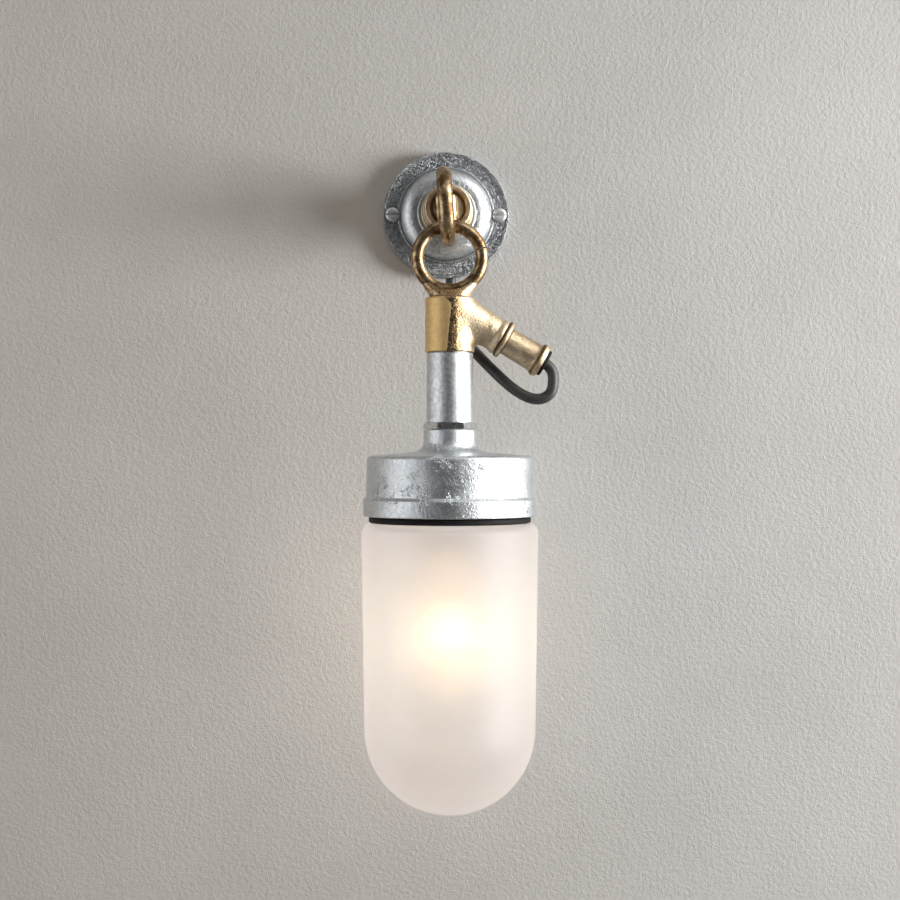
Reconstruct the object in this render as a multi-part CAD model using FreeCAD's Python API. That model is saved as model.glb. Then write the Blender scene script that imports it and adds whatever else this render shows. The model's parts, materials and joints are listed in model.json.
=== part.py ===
import FreeCAD, Part
import math
import os
from FreeCAD import Rotation, Vector

# Well glass wall light. Millimetres, +Z up, wall in the plane Y = 0, the light towards -Y.
# The origin is the centre of the wall plate's back. The lamp hangs on an axis in front of it.

# Clearances that more than one piece uses
touch_gap = 0.25         # between curved faces that move past each other
running_gap = 0.05       # between a shaft and its bush
face_gap = 0.2           # between flat faces that turn on each other
overrun = 2.0            # how far a cutter runs past the face that it opens

# Wall plate, in radii and in depths from the wall
plate_r = 38.1
band_depth = 8.6         # the flat band that carries the two screws
rim_bead_w = 1.0
rim_bead_h = 0.6
ridge_r = 29.3
ridge_w = 1.0
ridge_h = 1.2
ridge_groove_w = 0.5
ridge_groove_h = 0.5
dome_roll_r = 9.2
dome_h = 10.2
boss_r = 17.5
boss_foot_w = 0.9        # narrow flat between the dome and the boss
boss_h = 1.5             # rise of the boss over the dome
boss_edge_r = 0.5
plate_wall = 3.5
relief_r = 34.6          # hollow back, inside the rim
relief_depth = 4.9
spigot_depth = 8.0       # how far the collar screws into the boss
boss_floor = 3.0
plate_edge_r = 0.35

# Plate screws, slotted round heads
screw_spacing = 65.0
screw_head_r = 4.35
screw_head_h = 3.0
screw_slot_w = 1.2
screw_slot_depth = 1.3
head_dome_share = 0.97   # of a round head's height, taken by the radius of its edge
screw_shank_r = 2.4
screw_thread_r = 2.1
screw_thread_l = 24.0
screw_point_l = 3.0
screw_hole_r = 2.75
screw_seat_r = 5.0
screw_boss_r = 6.2

# Collar that holds the eye in the boss
spigot_r = 13.6
collar_base_r = 15.5
collar_base_l = 5.0
collar_barrel_r = 14.5
collar_groove_r = 13.7
collar_groove_w = 1.2
collar_front_l = 4.2
collar_l = 21.7
collar_bore_r = 12.2
collar_lip = 3.4
collar_mouth_r = 10.4
collar_mouth_flare = 0.9
collar_edge_r = 0.5
collar_front_r = 14.0
collar_front_edge_r = 1.3

# Wall eye
lamp_standoff = 63.0     # from the wall to the lamp's axis and the plane of its ring
eye_ring_r = 19.05       # to the middle of the wire
eye_wire_r = 3.95
eye_drop = 2.2           # ring's centre under the boss axis
eye_lean = 4.0           # degrees, as the ring is cast on its root
root_w = 13.4
root_h = 18.5
root_rise = 1.6          # root's centre over the ring's centre
root_tip_w = 8.4
root_tip_h = 13.0
root_tip_reach = 3.0     # how far the root runs up the wire past the ring's back
root_corner_r = 3.0
flange_l = 4.0
flange_dish = 1.2
eye_shank_r = 7.0
eye_shank_l = 18.0
shank_edge_r = 0.8

# Lamp ring
lamp_ring_r = 18.6       # to the middle of the wire
lamp_wire_r = 3.7
butt_angle = 15.0        # degrees over the horizontal, on the right
butt_gap = 0.4

# Entry body with its branch
neck_rise = 0.6
neck_foot_r = 11.3
neck_half_w = 16.4
neck_half_t = 3.9
neck_reach = 15.1        # top of the neck under the ring's centre
body_r = 14.2
body_h = 31.6
body_edge_r = 0.8
body_bore_r = 9.6
body_roof = 6.0
thread_r = 12.0          # stem's screwed end
thread_l = 9.0
branch_slope = 30.0      # degrees under the horizontal
branch_drop = 6.15       # branch axis under the body's top, on the lamp's axis
branch_root_r = 12.6
branch_end_r = 9.5
branch_l = 31.4
branch_rim_r = 10.6
branch_rim_l = 2.8
branch_bore_r = 7.2
branch_fillet_r = 3.0

# Gland: nut, washer, packing and mouth bush, along the branch axis
nut_flange_r = 11.1
nut_flange_l = 2.6
nut_flange_edge_r = 0.9
nut_neck_r = 7.8
nut_waist_r = 8.4
nut_l = 27.6
nut_lip_r = 10.3
nut_lip_l = 5.2
nut_lip_edge_r = 0.9
nut_spigot_l = 9.5
nut_bore_r = 4.0
mouth_r = 6.3
mouth_depth = 9.0
mouth_proud = 0.5
packing_l = 6.0
gland_washer_l = 1.5
seat_r = 4.2

# Stem, lock nut and nipple
stem_r = 13.45
stem_wall = 2.65
stem_l = 40.0
stem_gap = 0.5           # shadow gap under the body
lock_nut_flats = 26.6
lock_nut_h = 3.8
lock_nut_edge = 0.5
nut_hood_gap = 0.3
nipple_wall = 2.4
nipple_up = 14.0         # screwed into the stem
nipple_down = 5.6        # below the bracket

# Hood
hood_neck_r = 15.15
hood_neck_h = 12.3
hood_fillet_r = 6.5
hood_top_inset = 0.6     # of the roof's outer edge from the side
hood_slope = 2.9
hood_top_edge_r = 2.6
hood_h = 37.3            # from the roof's outer edge, on the neck side, to the rim
hood_side_inset = 1.65   # of the side from the band
hood_band_w = 7.7        # of the band beyond the glass neck
hood_band_h = 9.4
hood_band_step = 1.7
hood_band_edge_r = 0.7
hood_wall = 4.3
hood_land_h = 13.0
hood_inner_edge_r = 3.0
hood_edge_r = 0.5

# Gasket and glass
gasket_w = 4.4
gasket_h = 3.9
glass_neck_r = 42.25
glass_neck_h = 14.3      # above the shoulder
glass_thread_gap = 0.35
glass_shoulder_w = 8.75
glass_taper = 2.4        # of the wall, from the shoulder to the bottom
glass_shoulder_r = 4.0
glass_h = 167.75         # from the shoulder to the bottom
glass_wall = 3.5
glass_neck_edge_r = 1.2

# Lampholder and its bracket
bracket_t = 1.5
bracket_w = 16.0
bracket_leg = 20.0
bracket_bend_r = 2.2
leg_gap = 0.3
nipple_nut_flats = 30.0
nipple_nut_h = 4.0
holder_r = 20.0
holder_drop = 11.0       # holder's top under the hood's roof
holder_h = 38.5
holder_skirt_r = 18.2
holder_skirt_h = 22.5
holder_edge_r = 1.0
holder_floor = 5.5
holder_well_r = 15.5
holder_well_depth = 10.0
shell_r = 14.6
shell_wall = 0.6
shell_inset = 1.2
contact_r = 4.0
contact_t = 1.0
rivet_r = 1.7
terminal_w = 6.0
terminal_h = 5.2
terminal_offset = 9.0
small_screw_r = 1.6
small_head_r = 3.0
small_head_h = 1.8
small_slot_w = 0.8
small_slot_depth = 0.8
bracket_screw_l = 7.0
bracket_screw_drop = 14.5
earth_inset = 13.0       # of the earth screw from the hood's inner wall
earth_tag_r = 4.2
earth_tag_t = 0.8
earth_screw_l = 3.0

# Screw-cap lamp
cap_r = 13.3
cap_l = 22.0
cap_wall = 0.5
cap_gap = 0.3            # under the centre contact
insulator_r = 7.0
insulator_l = 4.5
tip_r = 4.0
tip_l = 1.5
bulb_l = 107.0           # from the centre contact to the bottom
bulb_r = 30.0
bulb_neck_r = 14.6
bulb_neck_l = 18.0
bulb_glass_wall = 0.8
bulb_in_cap = 4.8        # length of the neck held in the cap
bulb_shoulder_share = 0.28   # of the swell, reached at the neck's end
bulb_cheek_share = 0.93  # of the bulb's radius, reached above its middle
bulb_cheek_rise_share = 0.45   # of the bulb's radius, height of that place
mount_r = 3.0
mount_l = 40.0
mount_foot_l = 9.0       # length of its flared foot
lead_r = 0.5
lead_spread = 12.0
filament_r = 0.7
filament_sag = 5.0

# Terminal block in the plate's back
block_w = 24.0
block_h = 9.0
block_t = 6.6
block_base_t = 3.6
block_offset = 12.5
block_pitch = 7.5
block_hole_r = 1.4
block_screw_r = 1.5
block_screw_sink = 0.4

# Flex and cores
flex_r = 3.2
flex_gap = 0.3           # notch round the flex
flex_offset = 3.15       # flex exit to the right of the plate's centre
flex_wall_gap = 0.5      # between the flex and the wall
core_r = 1.1
core_spacing = 1.35      # from the flex's centre to each core
core_lead_l = 4.0        # straight out of the sheath, in the entry body
stem_spread = 2.0        # how many times wider the cores lie at the stem's foot
bend_share = 0.45        # of the shorter run, taken by the arc at each point of a route
mouth_run_share = 1.55   # of the flex's radius, straight run before the gland's mouth

# The flex, chosen by hand: from the plate's hollow to behind the body, then on to the gland
plate_route = [
    (3.15, -3.7, -24.0),
    (3.15, -3.7, -41.0),
    (3.6, -9.5, -57.0),
    (5.5, -23.0, -70.0),
]
gland_route = [
    (11.0, -41.0, -80.0),
    (24.0, -53.0, -95.0),
    (38.0, -60.0, -108.8),
    (50.0, -63.2, -114.4),
    (58.8, -64.0, -110.8),
    (60.2, -63.6, -100.9),
]

# Places that follow from the sizes
ORIGIN = Vector(0, 0, 0)
RIGHT = Vector(1, 0, 0)
OUT = Vector(0, -1, 0)
UP = Vector(0, 0, 1)
DOWN = Vector(0, 0, -1)
FULL_TURN = 360
HEX_SIDES = 6
CLOSE = 1e-6

lamp_axis = Vector(0, -lamp_standoff, 0)
dome_foot_r = ridge_r - ridge_w - ridge_groove_w
dome_depth = band_depth + dome_h
boss_depth = dome_depth + boss_h
spigot_end = boss_depth - spigot_depth
floor_depth = spigot_end - boss_floor
collar_depth = boss_depth + collar_l
lip_depth = collar_depth - collar_lip
flange_r = collar_bore_r - touch_gap
flange_front = lip_depth - face_gap
flange_back = flange_front - flange_l
bush_front = flange_back - face_gap

hang_z = -eye_drop - eye_ring_r + eye_wire_r
swing_z = hang_z + touch_gap + lamp_wire_r
ring_z = swing_z - lamp_ring_r
body_top = ring_z - lamp_ring_r - lamp_wire_r - neck_rise
body_bottom = body_top - body_h
branch_z = body_top - branch_drop
stem_bore_r = stem_r - stem_wall
stem_top = body_bottom - stem_gap
stem_bottom = stem_top - stem_l
lock_nut_bottom = stem_bottom - lock_nut_h
hood_top = lock_nut_bottom - nut_hood_gap
hood_shoulder = hood_top - hood_neck_h
hood_rim = hood_shoulder - hood_h
hood_roof = hood_shoulder - hood_slope - hood_wall
hood_land_r = glass_neck_r + glass_thread_gap
hood_band_r = glass_neck_r + hood_band_w
hood_side_r = hood_band_r - hood_side_inset
hood_top_r = hood_side_r - hood_top_inset
hood_inner_r = hood_side_r - hood_wall
earth_offset = hood_inner_r - earth_inset
gasket_r = glass_neck_r + gasket_w
glass_r = glass_neck_r + glass_shoulder_w
glass_end_r = glass_r - glass_taper
glass_top = hood_rim - gasket_h
nipple_r = stem_bore_r
nipple_top = stem_bottom + nipple_up
nipple_bottom = hood_roof - bracket_t - nipple_down
holder_top = hood_roof - holder_drop
holder_bottom = holder_top - holder_h
holder_floor_top = holder_top - holder_well_depth
holder_floor_bottom = holder_floor_top - holder_floor
bulb_tip = holder_floor_bottom - contact_t - cap_gap
bulb_bottom = bulb_tip - bulb_l

branch_axis = Vector(
    math.cos(math.radians(branch_slope)), 0, -math.sin(math.radians(branch_slope))
)
branch_foot = Vector(0, -lamp_standoff, branch_z)
nut_base = branch_l + branch_rim_l + face_gap
nut_end = nut_base + nut_l
mouth_end = nut_end + mouth_proud


def along(origin, axis, distance):
    return origin + axis * distance


def corner_arc(before, at, after, radius):
    """First, middle and last point of the arc that rounds the corner at a point."""
    way_in = (at - before).normalize()
    way_out = (after - at).normalize()
    half_turn = way_in.getAngle(way_out) / 2
    reach = radius * math.tan(half_turn)
    inward = (way_out - way_in).normalize()
    middle = at + inward * (radius / math.cos(half_turn) - radius)
    return [at - way_in * reach, middle, at + way_out * reach]


def rounded_wire(points, radii, closed):
    """Straight runs through the points, joined by tangent arcs where a radius is given."""
    count = len(points)
    stops = []
    for i, point in enumerate(points):
        if radii[i] and (closed or 0 < i < count - 1):
            stops.append(corner_arc(points[i - 1], point, points[(i + 1) % count], radii[i]))
        else:
            stops.append([point])
    edges = []
    for i, stop in enumerate(stops):
        if len(stop) > 1:
            edges.append(Part.Arc(*stop).toShape())
        if closed or i < count - 1:
            start, end = stop[-1], stops[(i + 1) % count][0]
            if start.distanceToPoint(end) > CLOSE:
                edges.append(Part.LineSegment(start, end).toShape())
    return Part.Wire(edges)


def outline_face(outline, to_point):
    """A flat face inside an outline of (first size, second size, corner radius)."""
    points = [to_point(a, b) for a, b, _ in outline]
    return Part.Face(rounded_wire(points, [r for _, _, r in outline], True))


def placed(shape, origin, axis):
    """A shape made on +Z, with its foot at origin and its axis turned to the given one."""
    shape.Placement = FreeCAD.Placement(origin, Rotation(UP, axis))
    return shape


def turned(outline, origin, axis):
    """A solid turned from an outline of (radius, distance along the axis, corner radius)."""
    face = outline_face(outline, lambda radius, height: Vector(radius, 0, height))
    return placed(face.revolve(ORIGIN, UP, FULL_TURN), origin, axis)


def wall_turned(outline):
    """Turned on the boss axis, with distances measured from the wall."""
    return turned(outline, ORIGIN, OUT)


def lamp_turned(outline):
    """Turned on the lamp's axis, with distances as heights."""
    return turned(outline, lamp_axis, UP)


def branch_turned(outline):
    """Turned on the branch's axis, with distances from the lamp's axis."""
    return turned(outline, branch_foot, branch_axis)


def rod(radius, length, origin, axis):
    return Part.makeCylinder(radius, length, origin, axis)


def centred_box(size, centre):
    corner = centre - size * 0.5
    return Part.makeBox(size.x, size.y, size.z, corner)


def hexagon(flats, height, foot):
    """An upright hexagonal prism with a flat towards the viewer."""
    radius = flats / math.sqrt(3)
    points = [
        foot + Rotation(UP, FULL_TURN / HEX_SIDES * i).multVec(RIGHT * radius)
        for i in range(HEX_SIDES)
    ]
    face = Part.Face(Part.makePolygon(points + points[:1]))
    return face.extrude(UP * height)


def chamfered_nut(flats, height, edge, bore, foot):
    """A hexagon nut whose corners are turned off above and below."""
    corner_r = flats / math.sqrt(3)
    disc = turned(
        [
            (0, 0, 0),
            (corner_r - edge * 2, 0, 0),
            (corner_r, edge, 0),
            (corner_r, height - edge, 0),
            (corner_r - edge * 2, height, 0),
            (0, height, 0),
        ],
        foot,
        UP,
    )
    return hexagon(flats, height, foot).common(disc).cut(rod(bore, height, foot, UP))


def slotted_screw(head_r, head_h, slot_w, slot_depth, sections, seat, axis, slot_way):
    """A round-head screw. sections are (radius, length) from the head down, against the axis."""
    dome = turned(
        [(0, 0, 0), (head_r, 0, 0), (head_r, head_h, head_h * head_dome_share), (0, head_h, 0)],
        seat,
        axis,
    )
    shape = dome
    foot = seat
    for radius, length in sections:
        foot = foot - axis * length
        shape = shape.fuse(rod(radius, length, foot, axis))
    slot_size = Vector(*(abs(v) for v in axis)) * (slot_depth * 2)
    slot_size = slot_size + Vector(*(abs(v) for v in slot_way)) * (head_r * 2 + overrun)
    across = axis.cross(slot_way)
    slot_size = slot_size + Vector(*(abs(v) for v in across)) * slot_w
    return shape.cut(centred_box(slot_size, seat + axis * head_h)).removeSplitter()


def tube_along(points, radii, radius):
    """A round tube along straight runs joined by tangent arcs."""
    path = rounded_wire(points, radii, False)
    circle = Part.makeCircle(radius, points[0], points[1] - points[0])
    tube = path.makePipeShell([Part.Wire(circle)], True, False)
    return tube, path.Length


def bend_radii(points):
    """Each bend as large as its two runs allow."""
    radii = [0]
    for before, at, after in zip(points, points[1:], points[2:]):
        shorter = min(at.distanceToPoint(before), at.distanceToPoint(after))
        half_turn = (at - before).getAngle(after - at) / 2
        radii.append(bend_share * shorter / math.tan(half_turn))
    return radii + [0]


def plate_notch():
    """The slot in the plate's rim that the flex leaves by, with a round roof."""
    depth = flex_wall_gap + flex_r
    length = plate_r - (dome_foot_r - plate_wall) + overrun * 2
    foot = Vector(flex_offset, -depth, -plate_r - overrun)
    roof = rod(flex_r + flex_gap, length, foot, UP)
    width = (flex_r + flex_gap) * 2
    size = Vector(width, depth + overrun, length)
    centre = Vector(flex_offset, (overrun - depth) / 2, foot.z + length / 2)
    return roof.fuse(centred_box(size, centre))


def wall_plate():
    ridge_top = band_depth + ridge_h
    bead_top = band_depth + rim_bead_h
    dome_top_r = boss_r + boss_foot_w
    plate = wall_turned(
        [
            (0, 0, 0),
            (plate_r, 0, 0),
            (plate_r, bead_top, plate_edge_r),
            (plate_r - rim_bead_w, bead_top, plate_edge_r),
            (plate_r - rim_bead_w - rim_bead_h, band_depth, 0),
            (ridge_r, band_depth, 0),
            (ridge_r, ridge_top, plate_edge_r),
            (ridge_r - ridge_w, ridge_top, plate_edge_r),
            (ridge_r - ridge_w, band_depth + ridge_groove_h, 0),
            (dome_foot_r, band_depth + ridge_groove_h, 0),
            (dome_foot_r, dome_depth, dome_roll_r),
            (dome_top_r, dome_depth, 0),
            (boss_r, dome_depth, 0),
            (boss_r, boss_depth, boss_edge_r),
            (spigot_r, boss_depth, 0),
            (spigot_r, spigot_end, 0),
            (0, spigot_end, 0),
        ]
    )
    inner_roll_r = dome_foot_r - plate_wall
    hollow = wall_turned(
        [
            (0, -overrun, 0),
            (relief_r, -overrun, 0),
            (relief_r, relief_depth, 0),
            (inner_roll_r, relief_depth, 0),
            (inner_roll_r, dome_depth - plate_wall, dome_roll_r - plate_wall),
            (boss_r, dome_depth - plate_wall, 0),
            (boss_r, floor_depth, 0),
            (0, floor_depth, 0),
        ]
    )
    for side in (-1, 1):
        seat = Vector(side * screw_spacing / 2, 0, 0)
        hollow = hollow.cut(rod(screw_boss_r, relief_depth + overrun * 2, seat - OUT * overrun, OUT))
    plate = plate.cut(hollow).cut(plate_notch())
    for side in (-1, 1):
        seat = Vector(side * screw_spacing / 2, 0, 0)
        plate = plate.cut(rod(screw_hole_r, band_depth + overrun * 2, seat - OUT * overrun, OUT))
        plate = plate.cut(rod(screw_seat_r, ridge_h + overrun, seat + OUT * band_depth, OUT))
    return plate.removeSplitter()


def plate_screws():
    """Two screws whose thinner threaded ends stand out behind the plate."""
    screws = []
    for side in (-1, 1):
        seat = Vector(side * screw_spacing / 2, -band_depth, 0)
        screw = slotted_screw(
            screw_head_r,
            screw_head_h,
            screw_slot_w,
            screw_slot_depth,
            [(screw_shank_r, band_depth), (screw_thread_r, screw_thread_l)],
            seat,
            OUT,
            RIGHT,
        )
        tip = Vector(side * screw_spacing / 2, screw_thread_l, 0)
        point = Part.makeCone(screw_thread_r, 0, screw_point_l, tip, -OUT)
        screws.append(screw.fuse(point))
    return Part.makeCompound(screws)


def collar_nut():
    """Turned collar: screwed spigot, base flange, barrel, groove and rounded front lip."""
    base_top = boss_depth + collar_base_l
    groove_back = collar_depth - collar_front_l - collar_groove_w
    groove_front = collar_depth - collar_front_l
    return wall_turned(
        [
            (collar_bore_r, spigot_end, 0),
            (spigot_r, spigot_end, 0),
            (spigot_r, boss_depth, 0),
            (collar_base_r, boss_depth, 0),
            (collar_base_r, base_top, collar_edge_r),
            (collar_barrel_r, base_top, 0),
            (collar_barrel_r, groove_back, collar_edge_r),
            (collar_groove_r, groove_back, 0),
            (collar_groove_r, groove_front, 0),
            (collar_front_r, groove_front, 0),
            (collar_front_r, collar_depth, collar_front_edge_r),
            (collar_mouth_r + collar_mouth_flare, collar_depth, 0),
            (collar_mouth_r, collar_depth - collar_mouth_flare, 0),
            (collar_mouth_r, lip_depth, 0),
            (collar_bore_r, lip_depth, 0),
        ]
    )


def eye_bush():
    """Sleeve in the collar's bore that carries the eye's shank."""
    return wall_turned(
        [
            (eye_shank_r + running_gap, spigot_end, 0),
            (collar_bore_r, spigot_end, 0),
            (collar_bore_r, bush_front, 0),
            (eye_shank_r + running_gap, bush_front, 0),
        ]
    )


def rounded_oblong(width, height, corner, centre):
    """A wire parallel to the wall: a rectangle with round corners."""
    half_w, half_h = width / 2, height / 2
    points = [
        centre + Vector(x * half_w, 0, z * half_h)
        for x, z in ((-1, -1), (1, -1), (1, 1), (-1, 1))
    ]
    return rounded_wire(points, [corner] * 4, True)


def wall_eye():
    """Ring square to the wall on an oblong root, cast in one with its flange and shank."""
    ring_centre = Vector(0, -lamp_standoff, -eye_drop)
    ring = Part.makeTorus(eye_ring_r, eye_wire_r, ring_centre, RIGHT)
    root_z = root_rise - eye_drop
    root_foot = Vector(0, -flange_front, root_z)
    tip_depth = lamp_standoff - eye_ring_r + root_tip_reach
    root_tip = Vector(0, -tip_depth, root_z)
    root = Part.makeLoft(
        [
            rounded_oblong(root_w, root_h, root_corner_r, root_foot),
            rounded_oblong(root_tip_w, root_tip_h, root_corner_r, root_tip),
        ],
        True,
        True,
    )
    clearance = rod(
        eye_ring_r - eye_wire_r, root_w * 2, ring_centre - RIGHT * root_w, RIGHT
    )
    cast = ring.fuse(root.cut(clearance))
    cast.rotate(Vector(0, -lamp_standoff, hang_z), OUT, eye_lean)
    mouth_foot = OUT * boss_depth
    around = rod(collar_base_r, collar_l, mouth_foot, OUT)
    inside = rod(collar_mouth_r - touch_gap, collar_l, mouth_foot, OUT)
    cast = cast.cut(around.cut(inside))
    flange = wall_turned(
        [
            (0, flange_back, 0),
            (flange_r, flange_back, 0),
            (flange_r, flange_front, 0),
            (collar_mouth_r - touch_gap, flange_front, 0),
            (collar_mouth_r - touch_gap - flange_dish, flange_front + flange_dish, 0),
            (0, flange_front, 0),
        ]
    )
    shank_end = flange_back - eye_shank_l
    shank = wall_turned(
        [
            (0, shank_end, 0),
            (eye_shank_r, shank_end, shank_edge_r),
            (eye_shank_r, flange_back, 0),
            (0, flange_back, 0),
        ]
    )
    return cast.fuse(flange).fuse(shank).removeSplitter()


def hanging_ring():
    """Rod bent into a ring, with its butt joint open on the right."""
    centre = Vector(0, -lamp_standoff, ring_z)
    ring = Part.makeTorus(lamp_ring_r, lamp_wire_r, centre, OUT)
    slot_size = Vector(lamp_wire_r * 4, lamp_wire_r * 4, butt_gap)
    slot = centred_box(slot_size, centre + RIGHT * lamp_ring_r)
    slot.rotate(centre, OUT, butt_angle)
    return ring.cut(slot)


def ring_neck():
    """Flared saddle between the body's top and the ring."""
    foot_circle = Part.makeCircle(neck_foot_r, Vector(0, -lamp_standoff, body_top), UP)
    top_z = ring_z - neck_reach
    half_l = neck_half_w - neck_half_t
    left = Vector(-half_l, -lamp_standoff, top_z)
    right = Vector(half_l, -lamp_standoff, top_z)
    front = OUT * neck_half_t
    top_edges = [
        Part.LineSegment(left + front, right + front).toShape(),
        Part.Arc(right + front, right + RIGHT * neck_half_t, right - front).toShape(),
        Part.LineSegment(right - front, left - front).toShape(),
        Part.Arc(left - front, left - RIGHT * neck_half_t, left + front).toShape(),
    ]
    neck = Part.makeLoft([Part.Wire(foot_circle), Part.Wire(top_edges)], True, False)
    centre = Vector(0, -lamp_standoff, ring_z)
    wire = Part.makeTorus(lamp_ring_r, lamp_wire_r, centre, OUT)
    depth = neck_foot_r * 2
    opening = rod(lamp_ring_r, depth, centre - OUT * neck_foot_r, OUT)
    return neck.cut(wire).cut(opening)


def entry_body():
    """Barrel with a tapered branch, its rim, the neck, and the bores that carry the flex."""
    bottom = Vector(0, -lamp_standoff, body_bottom)
    barrel = rod(body_r, body_h + branch_root_r, bottom, UP)
    branch = branch_turned(
        [
            (0, 0, 0),
            (branch_root_r, 0, 0),
            (branch_end_r, branch_l, 0),
            (0, branch_l, 0),
        ]
    )
    shape = barrel.fuse(branch)
    seams = [edge for edge in shape.Edges if edge.Curve.TypeId == "Part::GeomBSplineCurve"]
    shape = shape.makeFillet(branch_fillet_r, seams)
    over = Vector(0, -lamp_standoff, body_top)
    shape = shape.cut(rod(branch_l, body_h, over, UP)).removeSplitter()
    ends = [
        edge
        for edge in shape.Edges
        if edge.BoundBox.ZMin > body_top - body_edge_r
        or edge.BoundBox.ZMax < body_bottom + body_edge_r
    ]
    shape = shape.makeFillet(body_edge_r, ends)
    rim = branch_turned(
        [
            (0, branch_l, 0),
            (branch_rim_r, branch_l, branch_rim_l / 3),
            (branch_rim_r, branch_l + branch_rim_l, branch_rim_l / 3),
            (0, branch_l + branch_rim_l, 0),
        ]
    )
    shape = shape.fuse(rim).fuse(ring_neck())
    bore_l = body_h - body_roof
    shape = shape.cut(rod(body_bore_r, bore_l, bottom, UP))
    shape = shape.cut(rod(thread_r, thread_l, bottom, UP))
    packing_seat = nut_base - nut_spigot_l - gland_washer_l - packing_l
    shape = shape.cut(rod(seat_r, packing_seat, branch_foot, branch_axis))
    seat = along(branch_foot, branch_axis, packing_seat)
    shape = shape.cut(rod(branch_bore_r, branch_l, seat, branch_axis))
    return shape.removeSplitter()


def gland_nut():
    """Screwed spigot, flange, waisted barrel and flared lip."""
    flange_end = nut_base + nut_flange_l
    lip_start = nut_end - nut_lip_l
    lip_peak = nut_end - nut_lip_l / 2
    return branch_turned(
        [
            (nut_bore_r, nut_base - nut_spigot_l, 0),
            (branch_bore_r, nut_base - nut_spigot_l, 0),
            (branch_bore_r, nut_base, 0),
            (nut_flange_r, nut_base, nut_flange_edge_r),
            (nut_flange_r, flange_end, nut_flange_edge_r),
            (nut_neck_r, flange_end, 0),
            (nut_waist_r, lip_start, nut_lip_l),
            (nut_lip_r, lip_peak, nut_lip_edge_r),
            ((nut_waist_r + nut_lip_r) / 2, nut_end, nut_lip_edge_r),
            (mouth_r, nut_end, 0),
            (mouth_r, nut_end - mouth_depth, 0),
            (nut_bore_r, nut_end - mouth_depth, 0),
        ]
    )


def ring_piece(outer, inner, start, end, edge):
    """A turned ring on the branch axis, with its outer edges rounded."""
    return branch_turned(
        [(inner, start, 0), (outer, start, edge), (outer, end, edge), (inner, end, 0)]
    )


def mouth_bush():
    return ring_piece(mouth_r, flex_r, nut_end - mouth_depth, mouth_end, flex_wall_gap)


def gland_washer():
    start = nut_base - nut_spigot_l - gland_washer_l
    return ring_piece(branch_bore_r, nut_bore_r, start, start + gland_washer_l, 0)


def gland_packing():
    start = nut_base - nut_spigot_l - gland_washer_l - packing_l
    return ring_piece(branch_bore_r, flex_r, start, start + packing_l, 0)


def stem_tube():
    """Pipe with a turned and screwed top."""
    return lamp_turned(
        [
            (stem_bore_r, stem_bottom, 0),
            (stem_r, stem_bottom, 0),
            (stem_r, stem_top, stem_gap / 2),
            (thread_r, stem_top, 0),
            (thread_r, body_bottom + thread_l, 0),
            (stem_bore_r, body_bottom + thread_l, 0),
        ]
    )


def lock_nut():
    foot = Vector(0, -lamp_standoff, lock_nut_bottom)
    return chamfered_nut(lock_nut_flats, lock_nut_h, lock_nut_edge, nipple_r, foot)


def nipple():
    return lamp_turned(
        [
            (nipple_r - nipple_wall, nipple_bottom, 0),
            (nipple_r, nipple_bottom, lock_nut_edge),
            (nipple_r, nipple_top, lock_nut_edge),
            (nipple_r - nipple_wall, nipple_top, 0),
        ]
    )


def hood():
    """Cast hood: neck, fillet, sloping roof, side, step and band, hollow underneath."""
    band_top = hood_rim + hood_band_h
    land_top = hood_rim + hood_land_h
    return lamp_turned(
        [
            (nipple_r, hood_top, 0),
            (hood_neck_r, hood_top, hood_edge_r),
            (hood_neck_r, hood_shoulder, hood_fillet_r),
            (hood_top_r, hood_shoulder - hood_slope, hood_top_edge_r),
            (hood_side_r, band_top + hood_band_step, hood_band_edge_r),
            (hood_band_r, band_top, hood_band_edge_r),
            (hood_band_r, hood_rim, hood_edge_r),
            (hood_land_r, hood_rim, 0),
            (hood_land_r, land_top, 0),
            (hood_inner_r, land_top, 0),
            (hood_inner_r, hood_roof, hood_inner_edge_r),
            (nipple_r, hood_roof, 0),
        ]
    )


def hood_gasket():
    return lamp_turned(
        [
            (glass_neck_r, glass_top, 0),
            (gasket_r, glass_top, gasket_h / 3),
            (gasket_r, hood_rim - face_gap, gasket_h / 3),
            (glass_neck_r, hood_rim - face_gap, 0),
        ]
    )


def end_radius(side_r, end_r, height):
    """Radius that rounds a tapered wall's lower corner right up to the axis."""
    half_turn = (math.pi / 2 - math.atan2(side_r - end_r, height)) / 2
    return end_r / math.tan(half_turn)


def well_glass():
    """Neck, shoulder, slightly tapered wall and round bottom, of one wall thickness."""
    bottom = glass_top - glass_h
    neck_top = glass_top + glass_neck_h
    inner_bottom = bottom + glass_wall
    inner_neck = glass_neck_r - glass_wall
    shoulder_in = glass_top - glass_wall
    inner_r, inner_end_r = glass_r - glass_wall, glass_end_r - glass_wall
    return lamp_turned(
        [
            (inner_neck, neck_top, glass_neck_edge_r),
            (glass_neck_r, neck_top, glass_neck_edge_r),
            (glass_neck_r, glass_top, 0),
            (glass_r, glass_top, glass_shoulder_r),
            (glass_end_r, bottom, end_radius(glass_r, glass_end_r, glass_h)),
            (0, bottom, 0),
            (0, inner_bottom, 0),
            (inner_end_r, inner_bottom, end_radius(inner_r, inner_end_r, shoulder_in - inner_bottom)),
            (inner_r, shoulder_in, glass_shoulder_r / 2),
            (inner_neck, shoulder_in, 0),
        ]
    )


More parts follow.
